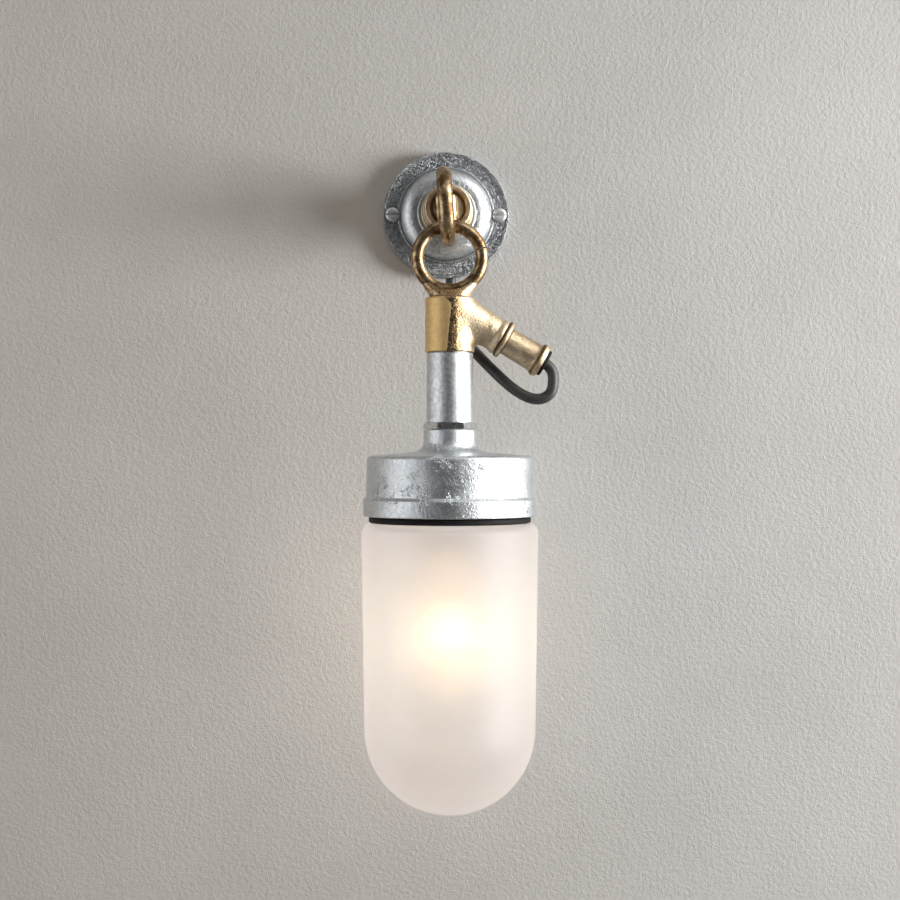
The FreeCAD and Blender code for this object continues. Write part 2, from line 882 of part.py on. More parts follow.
def holder_bracket():
    """Steel strap under the roof with two legs that hold the lampholder."""
    inner = holder_r + leg_gap
    outer = inner + bracket_t
    top, under = hood_roof, hood_roof - bracket_t
    foot = under - bracket_leg
    bend_in = bracket_bend_r - bracket_t
    outline = [
        (-outer, foot, 0),
        (-outer, top, bracket_bend_r),
        (outer, top, bracket_bend_r),
        (outer, foot, 0),
        (inner, foot, 0),
        (inner, under, bend_in),
        (-inner, under, bend_in),
        (-inner, foot, 0),
    ]
    back = bracket_w / 2 - lamp_standoff
    face = outline_face(outline, lambda x, z: Vector(x, back, z))
    strap = face.extrude(OUT * bracket_w)
    hole = rod(nipple_r, bracket_t * 3, Vector(0, -lamp_standoff, under - bracket_t), UP)
    screw_z = under - bracket_screw_drop
    across = rod(small_screw_r, outer * 3, Vector(-outer - inner, -lamp_standoff, screw_z), RIGHT)
    return strap.cut(hole).cut(across)


def bracket_screws():
    """Two screws through the bracket's legs into the lampholder."""
    screws = []
    screw_z = hood_roof - bracket_t - bracket_screw_drop
    for side in (-1, 1):
        axis = RIGHT * side
        seat = Vector(0, -lamp_standoff, screw_z) + axis * (holder_r + leg_gap + bracket_t)
        screws.append(small_screw(bracket_screw_l, seat, axis, UP))
    return Part.makeCompound(screws)


def small_screw(length, seat, axis, slot_way):
    return slotted_screw(
        small_head_r,
        small_head_h,
        small_slot_w,
        small_slot_depth,
        [(small_screw_r, length)],
        seat,
        axis,
        slot_way,
    )


def nipple_nut():
    foot = Vector(0, -lamp_standoff, hood_roof - bracket_t - nipple_nut_h)
    return chamfered_nut(nipple_nut_flats, nipple_nut_h, lock_nut_edge, nipple_r, foot)


def holder_body():
    """Porcelain: an open well for the terminals above a floor, and a skirt round the shell."""
    skirt_top = holder_bottom + holder_skirt_h
    body = lamp_turned(
        [
            (rivet_r, holder_floor_bottom, 0),
            (shell_r, holder_floor_bottom, 0),
            (shell_r, holder_bottom, 0),
            (holder_skirt_r, holder_bottom, holder_edge_r),
            (holder_skirt_r, skirt_top, 0),
            (holder_r, skirt_top + holder_edge_r, holder_edge_r),
            (holder_r, holder_top, holder_edge_r),
            (holder_well_r, holder_top, 0),
            (holder_well_r, holder_floor_top, holder_edge_r),
            (rivet_r, holder_floor_top, 0),
        ]
    )
    for screw in bracket_screws().Solids:
        body = body.cut(screw)
    return body


def holder_shell():
    """Thin brass shell whose upper edge turns in under the floor."""
    bottom = holder_bottom + shell_inset
    inner = shell_r - shell_wall
    return lamp_turned(
        [
            (inner, bottom, 0),
            (shell_r, bottom, 0),
            (shell_r, holder_floor_bottom, 0),
            (shell_r - shell_wall * 3, holder_floor_bottom, 0),
            (shell_r - shell_wall * 3, holder_floor_bottom - shell_wall, 0),
            (inner, holder_floor_bottom - shell_wall, 0),
        ]
    )


def centre_contact():
    """Contact disc under the floor, riveted through it."""
    lower = holder_floor_bottom - contact_t
    rivet_top = holder_floor_top + contact_t
    return lamp_turned(
        [
            (0, lower, 0),
            (contact_r, lower, 0),
            (contact_r, holder_floor_bottom, 0),
            (rivet_r, holder_floor_bottom, 0),
            (rivet_r, holder_floor_top, 0),
            (contact_r, holder_floor_top, 0),
            (contact_r, rivet_top, 0),
            (0, rivet_top, 0),
        ]
    )


def terminal_seats():
    """Middle of each terminal's foot on the holder's floor, towards the viewer and the wall."""
    return [
        Vector(0, -lamp_standoff + side * terminal_offset, holder_floor_top)
        for side in (-1, 1)
    ]


def holder_terminals():
    blocks = []
    for seat in terminal_seats():
        size = Vector(terminal_w, terminal_w, terminal_h)
        block = centred_box(size, seat + UP * (terminal_h / 2))
        head = small_screw(terminal_h / 2, seat + UP * terminal_h, UP, RIGHT)
        blocks.append(block.fuse(head))
    return Part.makeCompound(blocks)


def earth_screw():
    """Screw and ring tag under the hood's roof, behind the lampholder."""
    seat = Vector(0, earth_offset - lamp_standoff, hood_roof)
    tag = rod(earth_tag_r, earth_tag_t, seat, DOWN)
    head = slotted_screw(
        small_head_r,
        small_head_h,
        small_slot_w,
        small_slot_depth,
        [(small_screw_r, earth_tag_t)],
        seat + DOWN * earth_tag_t,
        DOWN,
        RIGHT,
    )
    return tag.fuse(head)


def bulb_cap():
    """Thin screwed cap, closed round the insulator."""
    top = bulb_tip - tip_l - insulator_l
    bottom = bulb_tip - tip_l - cap_l
    return lamp_turned(
        [
            (cap_r - cap_wall, bottom, 0),
            (cap_r, bottom, 0),
            (cap_r, top, cap_wall * 2),
            (insulator_r, top, 0),
            (insulator_r, top - cap_wall, 0),
            (cap_r - cap_wall, top - cap_wall, 0),
        ]
    )


def bulb_insulator():
    """Black glass cone with the centre contact's button on it."""
    top = bulb_tip - tip_l
    foot = top - insulator_l - cap_wall
    return lamp_turned(
        [
            (0, foot, 0),
            (insulator_r, foot, 0),
            (insulator_r, top - insulator_l, 0),
            (tip_r, top, 0),
            (0, top, 0),
        ]
    )


def bulb_button():
    top = bulb_tip
    return lamp_turned(
        [
            (0, top - tip_l, 0),
            (tip_r, top - tip_l, 0),
            (tip_r, top, tip_l / 2),
            (0, top, 0),
        ]
    )


def bulb_envelope():
    """Blown glass: a neck in the cap that swells into a round end."""
    cap_edge = bulb_tip - tip_l - cap_l
    neck_top = cap_edge + bulb_in_cap
    neck_in_cap = cap_r - cap_wall
    centre_z = bulb_bottom + bulb_r
    shoulder = cap_edge - bulb_neck_l
    wall = bulb_glass_wall
    outer = [
        Vector(neck_in_cap, 0, neck_top),
        Vector(neck_in_cap, 0, cap_edge),
        Vector(bulb_neck_r, 0, cap_edge - bulb_glass_wall),
    ]
    swell = [
        Vector(bulb_neck_r, 0, cap_edge - wall),
        Vector(bulb_neck_r + (bulb_r - bulb_neck_r) * bulb_shoulder_share, 0, shoulder),
        Vector(bulb_r * bulb_cheek_share, 0, centre_z + bulb_r * bulb_cheek_rise_share),
        Vector(bulb_r, 0, centre_z),
    ]
    curve = Part.BSplineCurve()
    curve.interpolate(swell, InitialTangent=DOWN, FinalTangent=DOWN)
    end_mid = Vector(bulb_r * math.sqrt(0.5), 0, centre_z - bulb_r * math.sqrt(0.5))
    edges = [
        Part.LineSegment(outer[0], outer[1]).toShape(),
        Part.LineSegment(outer[1], outer[2]).toShape(),
        curve.toShape(),
        Part.Arc(swell[-1], end_mid, Vector(0, 0, bulb_bottom)).toShape(),
        Part.LineSegment(Vector(0, 0, bulb_bottom), Vector(0, 0, neck_top)).toShape(),
        Part.LineSegment(Vector(0, 0, neck_top), outer[0]).toShape(),
    ]
    solid = Part.Face(Part.Wire(edges)).revolve(ORIGIN, UP, FULL_TURN)
    open_end = [face for face in solid.Faces if face.CenterOfMass.z > neck_top - CLOSE]
    hollow = solid.makeThickness(open_end, -wall, CLOSE)
    return placed(hollow, lamp_axis, UP)


def bulb_mount():
    """Glass stem in the neck, with two lead wires that spread to the filament."""
    foot = bulb_tip - tip_l - cap_l
    end = foot - mount_l
    foot_r = cap_r - cap_wall - bulb_glass_wall - running_gap
    stem = lamp_turned(
        [
            (0, end, 0),
            (mount_r, end, mount_r / 2),
            (mount_r, foot - mount_foot_l, mount_r),
            (foot_r, foot, 0),
            (foot_r, foot + bulb_glass_wall, 0),
            (0, foot + bulb_glass_wall, 0),
        ]
    )
    for side in (-1, 1):
        start, tip = lead_ends(side)
        stem = stem.fuse(rod(lead_r, start.distanceToPoint(tip), start, tip - start))
    return stem


def lead_ends(side):
    """Where one lead wire leaves the glass stem, and where it ends over the filament."""
    end = bulb_tip - tip_l - cap_l - mount_l
    start = Vector(side * mount_r / 2, -lamp_standoff, end + mount_r)
    return start, Vector(side * lead_spread, -lamp_standoff, end - lead_spread / 2)


def bulb_filament():
    ends = []
    for side in (-1, 1):
        start, tip = lead_ends(side)
        ends.append(tip + (tip - start).normalize() * (filament_r + lead_r))
    low = (ends[0] + ends[1]) * 0.5 + DOWN * filament_sag
    points = [ends[0], low, ends[1]]
    return tube_along(points, bend_radii(points), filament_r)[0]


def block_centre():
    return Vector(0, -(floor_depth - block_t / 2), block_offset)


def terminal_block():
    """Three-way block on the boss floor, with a barrel for each way and holes for the cores."""
    centre = block_centre()
    seat = centre + OUT * ((block_t - block_base_t) / 2)
    base = centred_box(Vector(block_w, block_base_t, block_h), seat)
    foot = Vector(0, centre.y, centre.z - block_h / 2)
    for way in (-1, 0, 1):
        axis_x = RIGHT * (way * block_pitch)
        base = base.fuse(rod(block_t / 2, block_h, foot + axis_x, UP))
    for way in (-1, 0, 1):
        start = foot + RIGHT * (way * block_pitch) + DOWN * overrun
        base = base.cut(rod(block_hole_r, block_h + overrun * 2, start, UP))
        for end in (-1, 1):
            hole = centre + Vector(way * block_pitch, 0, end * block_h / 4)
            base = base.cut(rod(block_screw_r, block_t, hole, -OUT))
    return base.removeSplitter()


def block_screws():
    """Two clamp screws to each way, sunk in the block's back."""
    centre = block_centre()
    screws = []
    top = centre.y + block_t / 2 - block_screw_sink
    for way in (-1, 0, 1):
        for end in (-1, 1):
            foot = centre + Vector(way * block_pitch, block_hole_r, end * block_h / 4)
            screw = rod(block_screw_r, top - foot.y, foot, -OUT)
            size = Vector(block_screw_r * 3, small_slot_depth * 2, small_slot_w)
            slot = centred_box(size, Vector(foot.x, top, foot.z))
            screws.append(screw.cut(slot))
    return Part.makeCompound(screws)


def flex_pieces():
    """The two free stretches, which meet face to face on a straight run."""
    mouth = along(branch_foot, branch_axis, mouth_end)
    before = along(branch_foot, branch_axis, mouth_end + flex_r * mouth_run_share)
    first = [Vector(*p) for p in plate_route]
    second = [Vector(*p) for p in gland_route] + [before, mouth]
    radii = bend_radii(first + second)
    seam = (first[-1] + second[0]) * 0.5
    upper = tube_along(first + [seam], radii[: len(first)] + [0], flex_r)
    lower = tube_along([seam] + second, [0] + radii[len(first) :], flex_r)
    print("flex bend radii", [round(r, 1) for r in radii])
    for name, (tube, length) in (("upper", upper), ("lower", lower)):
        ratio = tube.Volume / (math.pi * flex_r**2 * length)
        print("flex", name, "length", round(length, 1), "volume ratio", round(ratio, 4))
    return upper[0], lower[0]


def inner_flex():
    """Sheathed flex from the mouth bush to just inside the body's bore."""
    end = along(branch_foot, branch_axis, body_bore_r)
    return rod(flex_r, mouth_end - body_bore_r, end, branch_axis)


def core_offset(index, across, other):
    """Place of one of three cores round the middle of the flex."""
    angle = math.radians(FULL_TURN / 3 * index)
    return (across * math.cos(angle) + other * math.sin(angle)) * core_spacing


def plate_core(index):
    """One core from the sheath's end to its way in the terminal block."""
    sheath = Vector(*plate_route[0])
    start = sheath + core_offset(index, RIGHT, OUT)
    centre = block_centre()
    way = Vector((1 - index) * block_pitch, centre.y, centre.z - block_h / 2)
    run = sheath.distanceToPoint(way) / 4
    points = [start, start + UP * run, way + DOWN * run, way + UP * (block_h / 4)]
    return tube_along(points, bend_radii(points), core_r)[0]


def stem_offset(index):
    """Place of a core at the stem's foot, spread wider than in the sheath."""
    return core_offset(index, OUT, -RIGHT) * stem_spread


def lamp_core(index, end_points):
    """One core from the inner flex, over and down through stem and nipple, to its end points."""
    sheath = along(branch_foot, branch_axis, body_bore_r)
    start = sheath + core_offset(index, OUT, OUT.cross(branch_axis))
    rise = UP / branch_axis.x
    over = along(sheath, branch_axis, -core_lead_l) + core_offset(index, OUT, rise)
    stem_x = stem_offset(index).x / stem_spread
    way = Vector(-branch_axis.x, 0, branch_axis.z)
    down = along(over, way, (over.x - stem_x) / branch_axis.x)
    low = Vector(0, -lamp_standoff, nipple_bottom) + stem_offset(index)
    points = [start, over, down, low] + end_points
    return tube_along(points, bend_radii(points), core_r)[0]


def terminal_core(index, seat):
    """A core that ends on top of one of the lampholder's terminals."""
    out = Vector(0, seat.y + lamp_standoff, 0).normalize()
    top = seat + UP * (terminal_h + small_head_h + core_r)
    return lamp_core(index, [top + out * core_r])


def earth_core():
    """The core that leaves above the lampholder for the earth tag."""
    seat = Vector(0, earth_offset - lamp_standoff, hood_roof)
    level = nipple_bottom - core_r * 1.5
    x = stem_offset(2).x
    turn = Vector(x, core_spacing * 4 - lamp_standoff, level)
    reach = Vector(x, seat.y - earth_tag_r - core_r * 2, level)
    end = Vector(x, seat.y - earth_tag_r + core_r, hood_roof - earth_tag_t - core_r)
    return lamp_core(2, [turn, reach, end])


def export(name, shape):
    """Writes one piece and says if it isn't sound."""
    if not shape.isValid() or shape.Volume < CLOSE:
        print("unsound:", name)
    shape.exportStep("parts/" + name + ".step")


def main():
    os.makedirs("parts", exist_ok=True)
    flex_upper, flex_lower = flex_pieces()
    line_seat, neutral_seat = terminal_seats()
    pieces = {
        "wall_plate": wall_plate(),
        "plate_screws": plate_screws(),
        "collar_nut": collar_nut(),
        "eye_bush": eye_bush(),
        "terminal_block": terminal_block(),
        "terminal_screws": block_screws(),
        "plate_core_line": plate_core(0),
        "plate_core_neutral": plate_core(1),
        "plate_core_earth": plate_core(2),
        "flex_upper": flex_upper,
        "wall_eye": wall_eye(),
        "hanging_ring": hanging_ring(),
        "entry_body": entry_body(),
        "gland_nut": gland_nut(),
        "gland_washer": gland_washer(),
        "gland_packing": gland_packing(),
        "mouth_bush": mouth_bush(),
        "flex_lower": flex_lower,
        "inner_flex": inner_flex(),
        "core_line": terminal_core(0, line_seat),
        "core_neutral": terminal_core(1, neutral_seat),
        "core_earth": earth_core(),
        "stem_tube": stem_tube(),
        "lock_nut": lock_nut(),
        "nipple": nipple(),
        "nipple_nut": nipple_nut(),
        "hood": hood(),
        "holder_bracket": holder_bracket(),
        "bracket_screws": bracket_screws(),
        "holder_body": holder_body(),
        "holder_shell": holder_shell(),
        "centre_contact": centre_contact(),
        "holder_terminals": holder_terminals(),
        "earth_screw": earth_screw(),
        "hood_gasket": hood_gasket(),
        "well_glass": well_glass(),
        "bulb_cap": bulb_cap(),
        "bulb_insulator": bulb_insulator(),
        "bulb_button": bulb_button(),
        "bulb_envelope": bulb_envelope(),
        "bulb_mount": bulb_mount(),
        "bulb_filament": bulb_filament(),
    }
    for name, shape in pieces.items():
        export(name, shape)


main()
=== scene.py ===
import json
import math

import bpy
from mathutils import Matrix, Vector

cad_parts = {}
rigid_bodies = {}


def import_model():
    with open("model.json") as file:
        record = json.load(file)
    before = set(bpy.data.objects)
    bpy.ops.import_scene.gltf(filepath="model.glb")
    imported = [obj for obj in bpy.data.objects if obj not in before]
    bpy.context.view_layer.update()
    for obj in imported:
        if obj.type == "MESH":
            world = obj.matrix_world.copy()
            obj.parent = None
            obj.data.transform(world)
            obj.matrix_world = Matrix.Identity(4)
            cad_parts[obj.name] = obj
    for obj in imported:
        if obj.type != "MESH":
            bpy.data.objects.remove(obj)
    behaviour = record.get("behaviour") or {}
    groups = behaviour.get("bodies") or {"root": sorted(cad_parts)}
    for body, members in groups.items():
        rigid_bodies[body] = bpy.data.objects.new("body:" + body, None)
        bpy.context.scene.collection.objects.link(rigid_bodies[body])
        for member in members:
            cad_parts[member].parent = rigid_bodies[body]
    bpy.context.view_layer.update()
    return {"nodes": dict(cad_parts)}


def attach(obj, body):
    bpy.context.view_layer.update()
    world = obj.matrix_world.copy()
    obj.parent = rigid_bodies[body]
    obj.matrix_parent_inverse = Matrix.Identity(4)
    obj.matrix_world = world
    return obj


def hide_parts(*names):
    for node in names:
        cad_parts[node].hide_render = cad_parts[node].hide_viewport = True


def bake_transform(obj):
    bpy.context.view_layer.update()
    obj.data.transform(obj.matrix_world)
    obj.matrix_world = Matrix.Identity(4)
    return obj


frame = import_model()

# Well glass wall light. Sizes are in millimetres and become metres as each piece is made.
# The wall is the plane Y = 0, the lamp hangs on an upright axis 63 mm in front of it.
MM = 0.001
UP = Vector((0, 0, 1))
RIGHT = Vector((1, 0, 0))
OUT = Vector((0, -1, 0))
WALL = Vector((0, 0, 0))
LAMP = Vector((0, -63, 0))
BRANCH_FOOT = Vector((0, -63, -61))
BRANCH = Vector((math.cos(math.radians(30)), 0, -math.sin(math.radians(30))))
HANG = Vector((0, -63, -17.3))
RING_MIDDLE = Vector((0, -63, -31.95))
SCREW_OUT = 32.5
EYE_MIDDLE = Vector((0, -63, -2.2))
EYE_R, EYE_WIRE_R = 19.05, 3.95
RING_R, RING_WIRE_R = 18.6, 3.7
BARREL_R, BODY_TOP, BODY_BOTTOM = 14.2, -54.85, -86.45
FLEX_R = 3.2


# Camera, as the photograph was taken
def set_camera():
    bpy.ops.object.camera_add(
        location=(-0.043, -1.062, -0.1427), rotation=(math.pi / 2, 0, math.radians(-2.47))
    )
    camera = bpy.context.object
    camera.name = "photo_view"
    camera.data.lens = 69.4
    camera.data.sensor_width = 36
    camera.data.clip_start = 0.02
    bpy.context.scene.camera = camera


# Bench work: picking pieces up and putting them down
def put_down():
    """Out of edit mode, with nothing selected."""
    if bpy.context.mode != "OBJECT":
        bpy.ops.object.mode_set(mode="OBJECT")
    bpy.ops.object.select_all(action="DESELECT")


def pick_up(*pieces):
    put_down()
    for piece in pieces:
        piece.select_set(True)
    bpy.context.view_layer.objects.active = pieces[0]


def open_up(piece):
    """Into edit mode with all of the piece selected."""
    pick_up(piece)
    bpy.ops.object.mode_set(mode="EDIT")
    bpy.ops.mesh.select_mode(type="VERT")
    bpy.ops.mesh.select_all(action="SELECT")


def choose(piece, wanted):
    """Into edit mode with only the wanted points selected, by their place in millimetres."""
    open_up(piece)
    bpy.ops.mesh.select_all(action="DESELECT")
    bpy.ops.object.mode_set(mode="OBJECT")
    for vertex in piece.data.vertices:
        vertex.select = wanted(vertex.co / MM)
    bpy.ops.object.mode_set(mode="EDIT")


def settle(piece):
    """Moves the piece's place and turn into its mesh."""
    pick_up(piece)
    bpy.ops.object.transform_apply(location=True, rotation=True, scale=True)


def outward(piece, merge=1e-6):
    """Merges doubles and turns every face outwards."""
    open_up(piece)
    bpy.ops.mesh.remove_doubles(threshold=merge)
    bpy.ops.mesh.normals_make_consistent(inside=False)
    put_down()


def smooth(piece, angle=32):
    pick_up(piece)
    bpy.ops.object.shade_smooth_by_angle(angle=math.radians(angle))
    put_down()


# how far a rounding's chords may stand off it, and the least step of an outline
CHORD_GAP = 0.008
LEAST_STEP = 0.004


def eased(outline, closed):
    """Points of an outline whose corners of (across, along, rounding) are rounded."""
    points = []
    count = len(outline)
    for i, (across, along, rounding) in enumerate(outline):
        at = Vector((across, along))
        if rounding == 0 or (not closed and i in (0, count - 1)):
            points.append(at)
            continue
        way_in = (at - Vector(outline[i - 1][:2])).normalized()
        way_out = (Vector(outline[(i + 1) % count][:2]) - at).normalized()
        turn = way_in.angle(way_out)
        side = 1 if way_in.cross(way_out) > 0 else -1
        start = at - way_in * rounding * math.tan(turn / 2)
        centre = start + Vector((-way_in.y, way_in.x)) * side * rounding
        step = 2 * math.acos(1 - min(CHORD_GAP / rounding, 0.05))
        pieces = max(4, math.ceil(turn / step))
        for k in range(pieces + 1):
            arm = Matrix.Rotation(side * turn * k / pieces, 2) @ (start - centre)
            points.append(centre + arm)
    kept = []
    for point in points:
        if not kept or (point - kept[-1]).length > LEAST_STEP:
            kept.append(point)
    return kept


def turned(name, outline, origin, axis, steps=128):
    """A piece turned on a lathe: its outline drawn point by point, then spun round the axis."""
    closed = outline[0][0] > 0
    side = OUT if abs(axis.z) > 0.4 else UP
    side = (side - axis * side.dot(axis)).normalized()
    points = [(origin + side * p.x + axis * p.y) * MM for p in eased(outline, closed)]
    if closed:
        points.append(points[0])
    put_down()
    bpy.ops.mesh.primitive_plane_add(size=MM, location=(0, 0, 0))
    piece = bpy.context.object
    piece.name = name
    open_up(piece)
    bpy.ops.mesh.merge(type="CENTER")
    bpy.ops.transform.translate(value=points[0])
    for before, after in zip(points, points[1:]):
        bpy.ops.mesh.extrude_region_move(TRANSFORM_OT_translate={"value": after - before})
    bpy.ops.mesh.select_all(action="SELECT")
    bpy.ops.mesh.spin(steps=steps, angle=math.tau, center=origin * MM, axis=axis)
    outward(piece)
    smooth(piece)
    return piece


def rod(name, radius, foot, head, sides=64, end_radius=None):
    way = head - foot
    put_down()
    bpy.ops.mesh.primitive_cone_add(
        vertices=sides,
        radius1=radius * MM,
        radius2=(radius if end_radius is None else end_radius) * MM,
        depth=way.length * MM,
        location=(foot + head) / 2 * MM,
        rotation=way.to_track_quat("Z", "Y").to_euler(),
    )
    piece = bpy.context.object
    piece.name = name
    settle(piece)
    return piece


def block(name, size, centre):
    put_down()
    bpy.ops.mesh.primitive_cube_add(size=1, location=centre * MM, scale=size * MM)
    piece = bpy.context.object
    piece.name = name
    settle(piece)
    return piece


def bead_ring(name, ring_r, wire_r, centre, turn=(0, 0, 0), round_steps=160, wire_steps=40):
    put_down()
    bpy.ops.mesh.primitive_torus_add(
        major_radius=ring_r * MM,
        minor_radius=wire_r * MM,
        major_segments=round_steps,
        minor_segments=wire_steps,
        location=centre * MM,
        rotation=turn,
    )
    piece = bpy.context.object
    piece.name = name
    settle(piece)
    return piece


def draw_out(way):
    """Extrudes what is selected, by a way in millimetres."""
    bpy.ops.mesh.extrude_region_move(TRANSFORM_OT_translate={"value": way * MM})


def worked(piece, kind, **settings):
    """Adds one modifier and applies it."""
    pick_up(piece)
    bpy.ops.object.modifier_add(type=kind)
    step = piece.modifiers[-1]
    for key, value in settings.items():
        setattr(step, key, value)
    bpy.ops.object.modifier_apply(modifier=step.name)
    put_down()


def carve(piece, tool, operation="DIFFERENCE"):
    worked(piece, "BOOLEAN", operation=operation, solver="EXACT", object=tool)
    bpy.data.objects.remove(tool)


def fuse(piece, *others):
    pick_up(piece, *others)
    bpy.ops.object.join()
    put_down()


def soften(piece, width, angle=40, segments=2):
    """Takes the sharpness off the edges that a cut has left."""
    worked(
        piece,
        "BEVEL",
        width=width * MM,
        segments=segments,
        limit_method="ANGLE",
        angle_limit=math.radians(angle),
        use_clamp_overlap=True,
    )
    smooth(piece)


def cast_whole(piece, grain, rounds):
    """Runs overlapping forms together into one casting with soft inner corners."""
    worked(piece, "REMESH", mode="VOXEL", voxel_size=grain * MM)
    worked(piece, "SMOOTH", factor=0.5, iterations=rounds)


# Finishes
def finish(name):
    """A new material, its shader, and the place on the piece that its patterns read."""
    made = bpy.data.materials.new(name)
    made.use_nodes = True
    nodes = made.node_tree.nodes
    return made, nodes["Principled BSDF"], nodes.new("ShaderNodeTexCoord").outputs["Object"]


def add_node(beside, kind):
    """A new node in the tree that a node or a socket belongs to."""
    return beside.id_data.nodes.new("ShaderNode" + kind)


def put(value, socket):
    """Links a value to a socket, or sets a plain number or colour there."""
    if isinstance(value, bpy.types.NodeSocket):
        socket.id_data.links.new(value, socket)
    else:
        socket.default_value = (*value, 1.0) if isinstance(value, tuple) else value


def feed(node, **values):
    """Puts values on a node's sockets, whose names are written with _ for a space."""
    for label, value in values.items():
        put(value, node.inputs[label.replace("_", " ")])


def mottle(place, scale, detail=3.0, roughness=0.55, distortion=0.0):
    noise = add_node(place, "TexNoise")
    feed(noise, Vector=place, Scale=scale, Detail=detail, Roughness=roughness)
    feed(noise, Distortion=distortion)
    return noise.outputs["Fac"]


def ranged(value, low, high, to_low=0.0, to_high=1.0):
    """Maps a range of a value to another, softly, and holds it at its ends."""
    node = add_node(value, "MapRange")
    node.interpolation_type = "SMOOTHSTEP"
    feed(node, Value=value, From_Min=low, From_Max=high, To_Min=to_low, To_Max=to_high)
    return node.outputs["Result"]


def sums(operation, *values):
    """One step of arithmetic on values and plain numbers."""
    node = add_node(next(v for v in values if isinstance(v, bpy.types.NodeSocket)), "Math")
    node.operation = operation
    for socket, value in zip(node.inputs, values):
        put(value, socket)
    return node.outputs[0]


def times(first, second):
    return sums("MULTIPLY", first, second)


def less(first, second):
    return sums("SUBTRACT", first, second)


def added(first, *others):
    for other in others:
        first = sums("ADD", first, other)
    return first


def most(first, *others):
    for other in others:
        first = sums("MAXIMUM", first, other)
    return first


def colour_mix(mask, first, second):
    node = add_node(mask, "Mix")
    node.data_type = "RGBA"
    for value, socket in zip((mask, first, second), (node.inputs["Factor"], *node.inputs[6:8])):
        put(value, socket)
    return node.outputs[2]


def relief(shader, height, depth):
    """Fine unevenness, its depth in millimetres."""
    bump = add_node(shader, "Bump")
    feed(bump, Height=height, Distance=depth * MM, Strength=1.0)
    feed(shader, Normal=bump.outputs["Normal"])


def parts_of(place):
    split = add_node(place, "SeparateXYZ")
    feed(split, Vector=place)
    return split.outputs["X"], split.outputs["Y"], split.outputs["Z"]


def from_point(place, operation, point):
    """How far a place is from a point, or along a direction."""
    node = add_node(place, "VectorMath")
    node.operation = operation
    put(place, node.inputs[0])
    node.inputs[1].default_value = point
    return node.outputs["Value"]


def bend_mask(place, low, high):
    """Hollows or arrises, from how sharply the surface turns."""
    return ranged(add_node(place, "NewGeometry").outputs["Pointiness"], low, high)


def effect(name, inputs, outputs):
    """An empty shared effect that reads a place and named values."""
    tree = bpy.data.node_groups.new(name, "ShaderNodeTree")
    tree.interface.new_socket("Place", in_out="INPUT", socket_type="NodeSocketVector")
    for label, value in inputs.items():
        socket = tree.interface.new_socket(label, in_out="INPUT", socket_type="NodeSocketFloat")
        socket.default_value = value
    for label in outputs:
        tree.interface.new_socket(label, in_out="OUTPUT", socket_type="NodeSocketFloat")
    return tree, tree.nodes.new("NodeGroupInput").outputs, tree.nodes.new("NodeGroupOutput")


def use_effect(group, place, **values):
    node = add_node(place, "Group")
    node.node_tree = group
    feed(node, Place=place, **values)
    return node.outputs


def make_cast_skin():
    """Skin of a sand casting: clouds, fine grain and scattered ragged pits."""
    tree, given, result = effect(
        "Cast skin",
        {"Clouds": 120.0, "Grain": 1400.0, "Pitting": 420.0, "Pit share": 0.5},
        ("Cloud", "Grain", "Pits", "Height"),
    )
    cloud = mottle(given["Place"], given["Clouds"], 5, 0.62)
    grain = mottle(given["Place"], given["Grain"], 3, 0.55)
    ragged = mottle(given["Place"], given["Pitting"], 6, 0.7, 0.8)
    sill = less(0.72, times(given["Pit share"], 0.12))
    pits = ranged(less(ragged, sill), 0.0, 0.05)
    height = less(added(times(grain, 1.1), times(cloud, 0.6)), times(pits, 0.5))
    feed(result, Cloud=cloud, Grain=grain, Pits=pits, Height=height)
    return tree


def make_tool_marks():
    """Fine lines left round a turned piece, from the distance along its axis."""
    tree, given, result = effect(
        "Tool marks", {"Along": 0.0, "Fineness": 4000.0}, ("Lines", "Smear")
    )
    lines = add_node(given["Place"], "TexNoise")
    lines.noise_dimensions = "1D"
    feed(lines, Scale=1.0, Detail=3.0, W=times(given["Along"], given["Fineness"]))
    feed(result, Lines=lines.outputs["Fac"], Smear=mottle(given["Place"], 260, 3))
    return tree


# dark colour of the zinc's pits and cracks, and of the painted shade in its hollows
ZINC_DIRT_AND_SHADE = (0.09, 0.09, 0.095)


def zinc_coat(shader, place, skin, flaws, base, depth, lumps):
    """Dirt in pits and cracks, painted shade in the hollows, roughness and relief that the zinc
    castings share.
    """
    ridge = sums("ABSOLUTE", less(mottle(place, 75, 4, 0.7, 1.6), 0.5))
    crack = ranged(ridge, 0.004, 0.016, 1.0, 0.0)
    crack = times(crack, ranged(mottle(place, 62, 2), 0.56, 0.63))
    dirt_and_shade = most(
        times(skin["Pits"], 0.6),
        times(flaws["Pits"], 0.85),
        times(crack, 0.8),
        # painted shade: darker in the hollows, from how sharply the surface turns
        times(bend_mask(place, 0.49, 0.46), 0.6),
    )
    rough = ranged(skin["Grain"], 0.3, 0.75, 0.28, 0.47)
    rough = added(rough, ranged(flaws["Cloud"], 0.3, 0.7, -0.03, 0.04))
    feed(shader, Base_Color=colour_mix(dirt_and_shade, base, ZINC_DIRT_AND_SHADE), Roughness=rough, Metallic=1.0)
    height = added(times(skin["Height"], 0.8), lumps)
    marks = added(flaws["Pits"], times(crack, 0.8))
    relief(shader, less(height, marks), depth)


